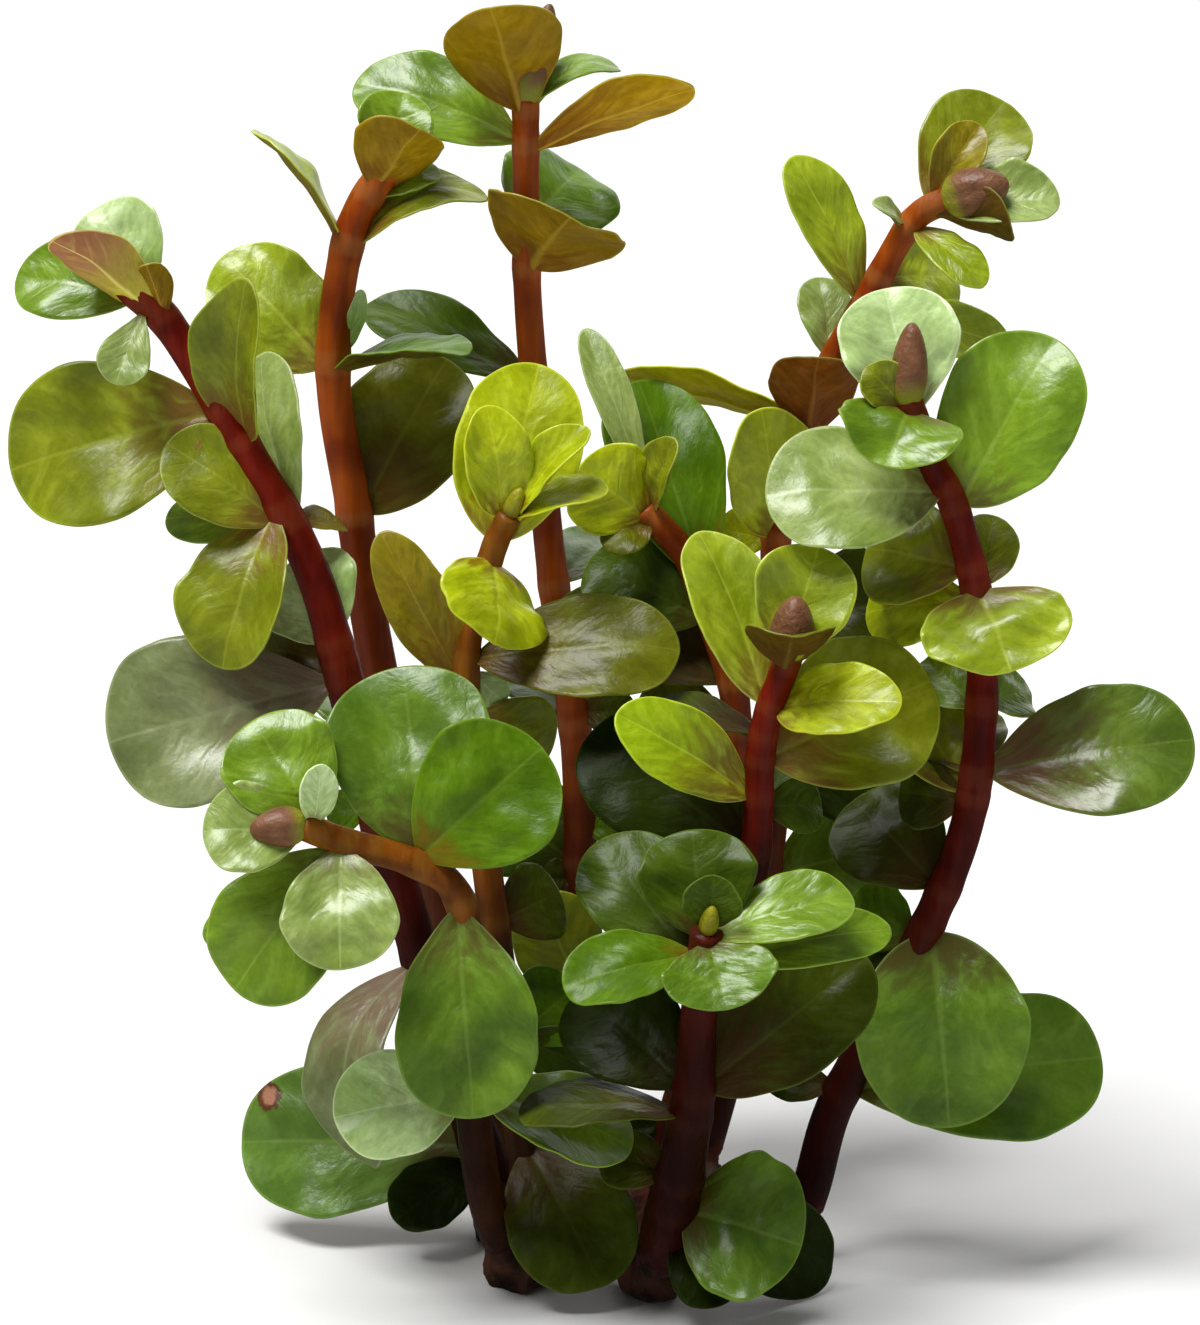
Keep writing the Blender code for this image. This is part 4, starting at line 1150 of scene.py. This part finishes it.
def add_leaves(shoot_name, leaves, first_number, group):
    """Makes these leaves of one shoot. Those that aren't pieces of their own become one piece."""
    together = bmesh.new()
    together.loops.layers.uv.new("blade")
    tones = []
    grown = 0
    for number, leaf in enumerate(leaves, first_number):
        foot, tip = leaf_ends(leaf, stems[shoot_name])
        seed = SEED_STEP * number
        if leaf.own:
            grown += 1
            made = make_blade(leaf, foot, tip, GROWN_CELLS, seed)
            add_piece(f"blade_{shoot_name}_{grown}", made, finishes[leaf.tone],
                      f"leaf_{shoot_name}_{grown}")
        else:
            if leaf.tone not in tones:
                tones.append(leaf.tone)
            pour(make_blade(leaf, foot, tip, YOUNG_CELLS, seed, 2 * tones.index(leaf.tone)), together)
    materials = [finish for tone in tones for finish in finishes[tone]]
    add_piece(f"{group}_{shoot_name}", together, materials, f"stem_{shoot_name}")


leaf_count = 0
for name, shoot in SHOOTS.items():
    add_leaves(name, shoot.leaves, leaf_count, "young_leaves")
    leaf_count += len(shoot.leaves)
print("leaves:", leaf_count)

# %% [markdown]
# ## Leaves deep in the clump
#
# Low between the stems the photo shows dark leaves and hardly any daylight. The solids already hold
# as many leaves as they may, so the smallest ones, which only close the view between two stems, are
# made here. They are described and made like the young leaves, one piece for each shoot.

# %% Inner leaves
INNER_LEAVES = {
    "left": [young("leafy", 46.5, (-4, 1, -0.9), (0, -1, 0.4), 3.6)],
    "back": [
        young("dusky", 52, (5.2, -1, 0.2), (0, -1, 0.3), 4.2),
        young("leafy", 62, (3.6, -1, 0), (0, -1, 0.3), 2.8),
        young("dusky", 66.5, (-3.4, -1, 0.2), (0, -1, 0.3), 3.6),
    ],
    "mid_left": [young("deep", 43, (6.4, 1, -2.6), (0, -1, 0.4), 4.6)],
    "mid": [young("shade", 54, (-3.8, 0, 0), (0, -1, 0.3), 3)],
    "mid_right": [young("deep", 13, (5.2, 3, -0.4), (0, -1, 0.4), 4.6)],
    "back_right": [young("lime", 33, (-4.8, 0, 0.9), (0, -1, 0.3), 4.2)],
    "right": [
        young("dusky", 33, (-5.6, 2, 0.4), (0.2, -1, 0.3), 5.6),
        young("deep", 46.5, (-4.6, 2, -0.5), (0, -1, 0.4), 4),
        young("dusky", 60, (-6.2, 1, 0.7), (0, -1, 0.4), 3.4),
    ],
}

for name, leaves in INNER_LEAVES.items():
    add_leaves(name, leaves, leaf_count, "inner_leaves")
    leaf_count += len(leaves)
print("leaves with the inner ones:", leaf_count)

# %% [markdown]
# ## Stems
#
# A curve with a bevel would draw a stem in one step, but its points couldn't carry how near a joint
# is. So a stem is drawn out ring by ring: a circle is extruded along the route, and each new ring is
# turned with the route and scaled to the stem's radius there. The rings swell at the joints where
# leaves sit, and the first circle is drawn slightly square, as this plant's stems are. The closing
# faces at both ends are hidden in the rootstock and in the tip's bud and leaves.

# %% Extruded tube
Ring = namedtuple("Ring", "point direction radius joint")
CORNERS = 4


def extrude_tube(rings, sides, squareness=0.0):
    """A closed tube through these rings. An attribute keeps how near a joint each point is."""
    made = bmesh.new()
    joint_layer = made.verts.layers.float.new("joint")
    circle = bmesh.ops.create_circle(made, cap_ends=True, segments=sides, radius=1)["verts"]
    bmesh.ops.reverse_faces(made, faces=made.faces)
    for i, vert in enumerate(circle):
        vert.co *= 1 + squareness * cos(CORNERS * 2 * pi * i / sides)
    turn = Vector((0, 0, 1)).rotation_difference(rings[0].direction).to_matrix().to_4x4()
    place = Matrix.Translation(rings[0].point) @ turn @ Matrix.Scale(rings[0].radius, 4)
    bmesh.ops.transform(made, matrix=place, verts=circle)
    for vert in circle:
        vert[joint_layer] = rings[0].joint
    edges = made.edges[:]
    for before, after in zip(rings, rings[1:]):
        drawn = bmesh.ops.extrude_edge_only(made, edges=edges)["geom"]
        circle = [item for item in drawn if isinstance(item, bmesh.types.BMVert)]
        edges = [item for item in drawn if isinstance(item, bmesh.types.BMEdge) and item.is_boundary]
        turn = before.direction.rotation_difference(after.direction).to_matrix().to_4x4()
        step = Matrix.Translation(after.point) @ turn @ Matrix.Scale(after.radius / before.radius, 4)
        bmesh.ops.transform(made, matrix=step @ Matrix.Translation(-before.point), verts=circle)
        for vert in circle:
            vert[joint_layer] = after.joint
    bmesh.ops.edgeloop_fill(made, edges=edges)
    bmesh.ops.recalc_face_normals(made, faces=made.faces)
    return made


UP = Vector((0, 0, 1))
trial = extrude_tube([Ring(z * UP, UP, 1, 0) for z in range(3)], 16)
print("open edges of a tube of three rings:", sum(edge.is_boundary for edge in trial.edges))
trial.free()

# %% Stems
STEM_SIDES = 20
SQUARENESS = 0.05
RING_GAP = 0.55
STEM_START = 5.0
PAST_TIP = 0.2
SWELL = 0.08
SWELL_LENGTH = 1.0
STEM_STAINS = {"left": "wine", "mid_right": "wine", "front": "wine", "right": "wine", "front_left": "rust",
               "mid_left": "rust"}


def stem_rings(stem, start, end):
    """The rings of a stem from one length above its foot to another."""
    joints = sorted({stem.total - leaf.below_tip for leaf in stem.shoot.leaves})
    count = max(2, round((end - start) / RING_GAP))
    rings = []
    for i in range(count + 1):
        length = start + (end - start) * i / count
        point, direction, radius = stem.at(length)
        near = max(exp(-(((length - joint) / SWELL_LENGTH) ** 2)) for joint in joints)
        rings.append(Ring(point * MM, direction, radius * (1 + SWELL * near) * MM, near))
    return rings


for name, stem in stems.items():
    tube = extrude_tube(stem_rings(stem, STEM_START, stem.total + PAST_TIP), STEM_SIDES, SQUARENESS)
    finish = stem_finishes[STEM_STAINS.get(name, "brick")]
    add_piece(f"stalk_{name}", tube, [finish], f"stem_{name}")
print("stems:", len(stems))

# %% [markdown]
# ## Buds
#
# At the tip of a shoot the next pair of leaves is still closed round a bud. Two curved scales could
# be modelled for it, but at this size a ball drawn out to a point, with a groove where its two
# halves meet, looks the same. An attribute holds how high each point lies, so the finish can run
# from one colour at the foot to another at the point.

# %% Buds
GREEN_BUDS = ("front", "mid", "mid_left")
BUD_SINK = 0.12
BUD_TAPER = 0.35
GROOVE_ANGLE = 0.25
BUD_GROOVE = 0.14


def make_bud(bud, foot):
    reach = Vector(bud.reach)
    made = bmesh.new()
    rise_layer = made.verts.layers.float.new("rise")
    bmesh.ops.create_uvsphere(made, u_segments=32, v_segments=20, radius=1)
    for vert in made.verts:
        height = (vert.co.z + 1) / 2
        angle = abs(Vector((vert.co.x, vert.co.y, 0)).normalized().y) if height not in (0, 1) else 0
        pinch = 1 - BUD_GROOVE * exp(-((angle / GROOVE_ANGLE) ** 2)) * sin(pi * height)
        slim = (1 - BUD_TAPER * height) * pinch
        vert[rise_layer] = height
        vert.co = Vector((vert.co.x * bud.width / 2 * slim, vert.co.y * bud.width / 2 * slim,
                          (height - BUD_SINK) * reach.length))
    turn = reach.to_track_quat("Z", "Y").to_matrix()
    place = Matrix.Translation(foot * MM) @ (turn * MM).to_4x4()
    bmesh.ops.transform(made, matrix=place, verts=made.verts)
    return made


for name, stem in stems.items():
    finish = bud_finishes["green" if name in GREEN_BUDS else "brown"]
    add_piece(f"bud_{name}", make_bud(stem.shoot.bud, stem.points[-1]), [finish], f"stem_{name}")
print("buds:", len(stems), "of which green:", len(GREEN_BUDS))

# %% [markdown]
# ## Rootstock
#
# The creeping stem at the bottom joins the ten shoots. Its runners and the stubs of the stems are
# tubes that reach into each other. Boolean unions of so many tubes are slow and leave hard creases,
# so a voxel remesh melts them into one skin instead. A little smoothing and noise make it look
# grown, and a flat cut at the ground gives it the face that it stands on.

# %% Runners and stubs
Runner = namedtuple("Runner", "radius path")

RUNNERS = [
    Runner(2.8, [(-10, 1.5), (-4, 0.7), (0.5, 0), (6, -2), (11, -3.5), (17, -4.5)]),
    Runner(2.4, [(-4.2, 0.3), (-5, 6.5)]),
    Runner(2.5, [(0, 0.3), (-0.4, 5), (0, 11.5)]),
    Runner(2.3, [(6.3, -1.7), (7.2, 4), (8, 11.5)]),
    Runner(2.6, [(-3.7, 0.2), (-4.5, -8), (-7.5, -12)]),
    Runner(2.7, [(5.8, -2.4), (4, -7), (4, -14)]),
    Runner(2.2, [(0.7, 0.6), (4, 4.5)]),
]
ROOTSTOCK_HEIGHT = 2.0
STUB_START = 1.0
STUB_END = 6.0
KNOT_GAP = 4.5
KNOT_SWELL = 0.14
KNOT_SHARPNESS = 6
BETWEEN_KNOTS = 0.94
RUNNER_SIDES = 16


def runner_rings(runner):
    """The rings of a runner, which swells to a knot now and then."""
    route = smooth_route([(x, y, ROOTSTOCK_HEIGHT) for x, y in runner.path])
    rings = []
    walked = 0.0
    for i, point in enumerate(route):
        ahead = route[min(i + 1, len(route) - 1)] - route[max(i - 1, 0)]
        walked += (point - route[max(i - 1, 0)]).length
        knot = max(0, cos(2 * pi * walked / KNOT_GAP)) ** KNOT_SHARPNESS
        radius = runner.radius * (BETWEEN_KNOTS + KNOT_SWELL * knot)
        rings.append(Ring(point * MM, ahead.normalized(), radius * MM, 0))
    return rings


tubes = [runner_rings(runner) for runner in RUNNERS]
tubes += [stem_rings(stem, STUB_START, STUB_END) for stem in stems.values()]
together = bmesh.new()
for rings in tubes:
    pour(extrude_tube(rings, RUNNER_SIDES), together)
print("runners and stubs:", len(tubes))

# %% Melted together
VOXEL = 0.3 * MM

raw_mesh = bpy.data.meshes.new("raw rootstock")
together.to_mesh(raw_mesh)
together.free()
raw = add_object("raw rootstock", raw_mesh)
melt = raw.modifiers.new("Melt", "REMESH")
melt.mode = "VOXEL"
melt.voxel_size = VOXEL
melted = bpy.data.meshes.new_from_object(raw.evaluated_get(bpy.context.evaluated_depsgraph_get()))
bpy.data.objects.remove(raw)
print("faces of the melted rootstock:", len(melted.polygons))

# %% Bark relief and the flat cut
KNOBBLES = 0.35 * MM
KNOBBLE_SIZE = 1.6 * MM
KNOBBLE_LAYERS = (0.8, 2.0, 3)
KNOBBLES_BELOW = 4.5 * MM
STUB_KNOBBLES = 0.3
SMOOTHINGS = 3

grown = bmesh.new()
grown.from_mesh(melted)
for _ in range(SMOOTHINGS):
    bmesh.ops.smooth_vert(grown, verts=grown.verts, factor=0.5,
                          use_axis_x=True, use_axis_y=True, use_axis_z=True)
grown.normal_update()
for vert in grown.verts:
    grain = noise.fractal(vert.co / KNOBBLE_SIZE, *KNOBBLE_LAYERS)
    vert.co += vert.normal * grain * KNOBBLES * (1 if vert.co.z < KNOBBLES_BELOW else STUB_KNOBBLES)
everything = grown.verts[:] + grown.edges[:] + grown.faces[:]
cut = bmesh.ops.bisect_plane(grown, geom=everything, plane_co=(0, 0, 0), plane_no=(0, 0, -1),
                             clear_outer=True)
rim = [item for item in cut["geom_cut"] if isinstance(item, bmesh.types.BMEdge)]
bmesh.ops.triangle_fill(grown, edges=rim, use_beauty=True, normal=(0, 0, -1))
bmesh.ops.recalc_face_normals(grown, faces=grown.faces)
print("open edges:", sum(not edge.is_manifold for edge in grown.edges))
add_piece("rootstock_bark", grown, [bark], "rootstock")

# %% [markdown]
# ## Pieces and triangles
#
# The last cell counts the pieces and the triangles of their meshes.

# %% Pieces and triangles
bpy.context.view_layer.update()
triangles = sum(len(face.vertices) - 2 for piece in pieces for face in piece.data.polygons)
print("pieces:", len(pieces), "triangles:", triangles)
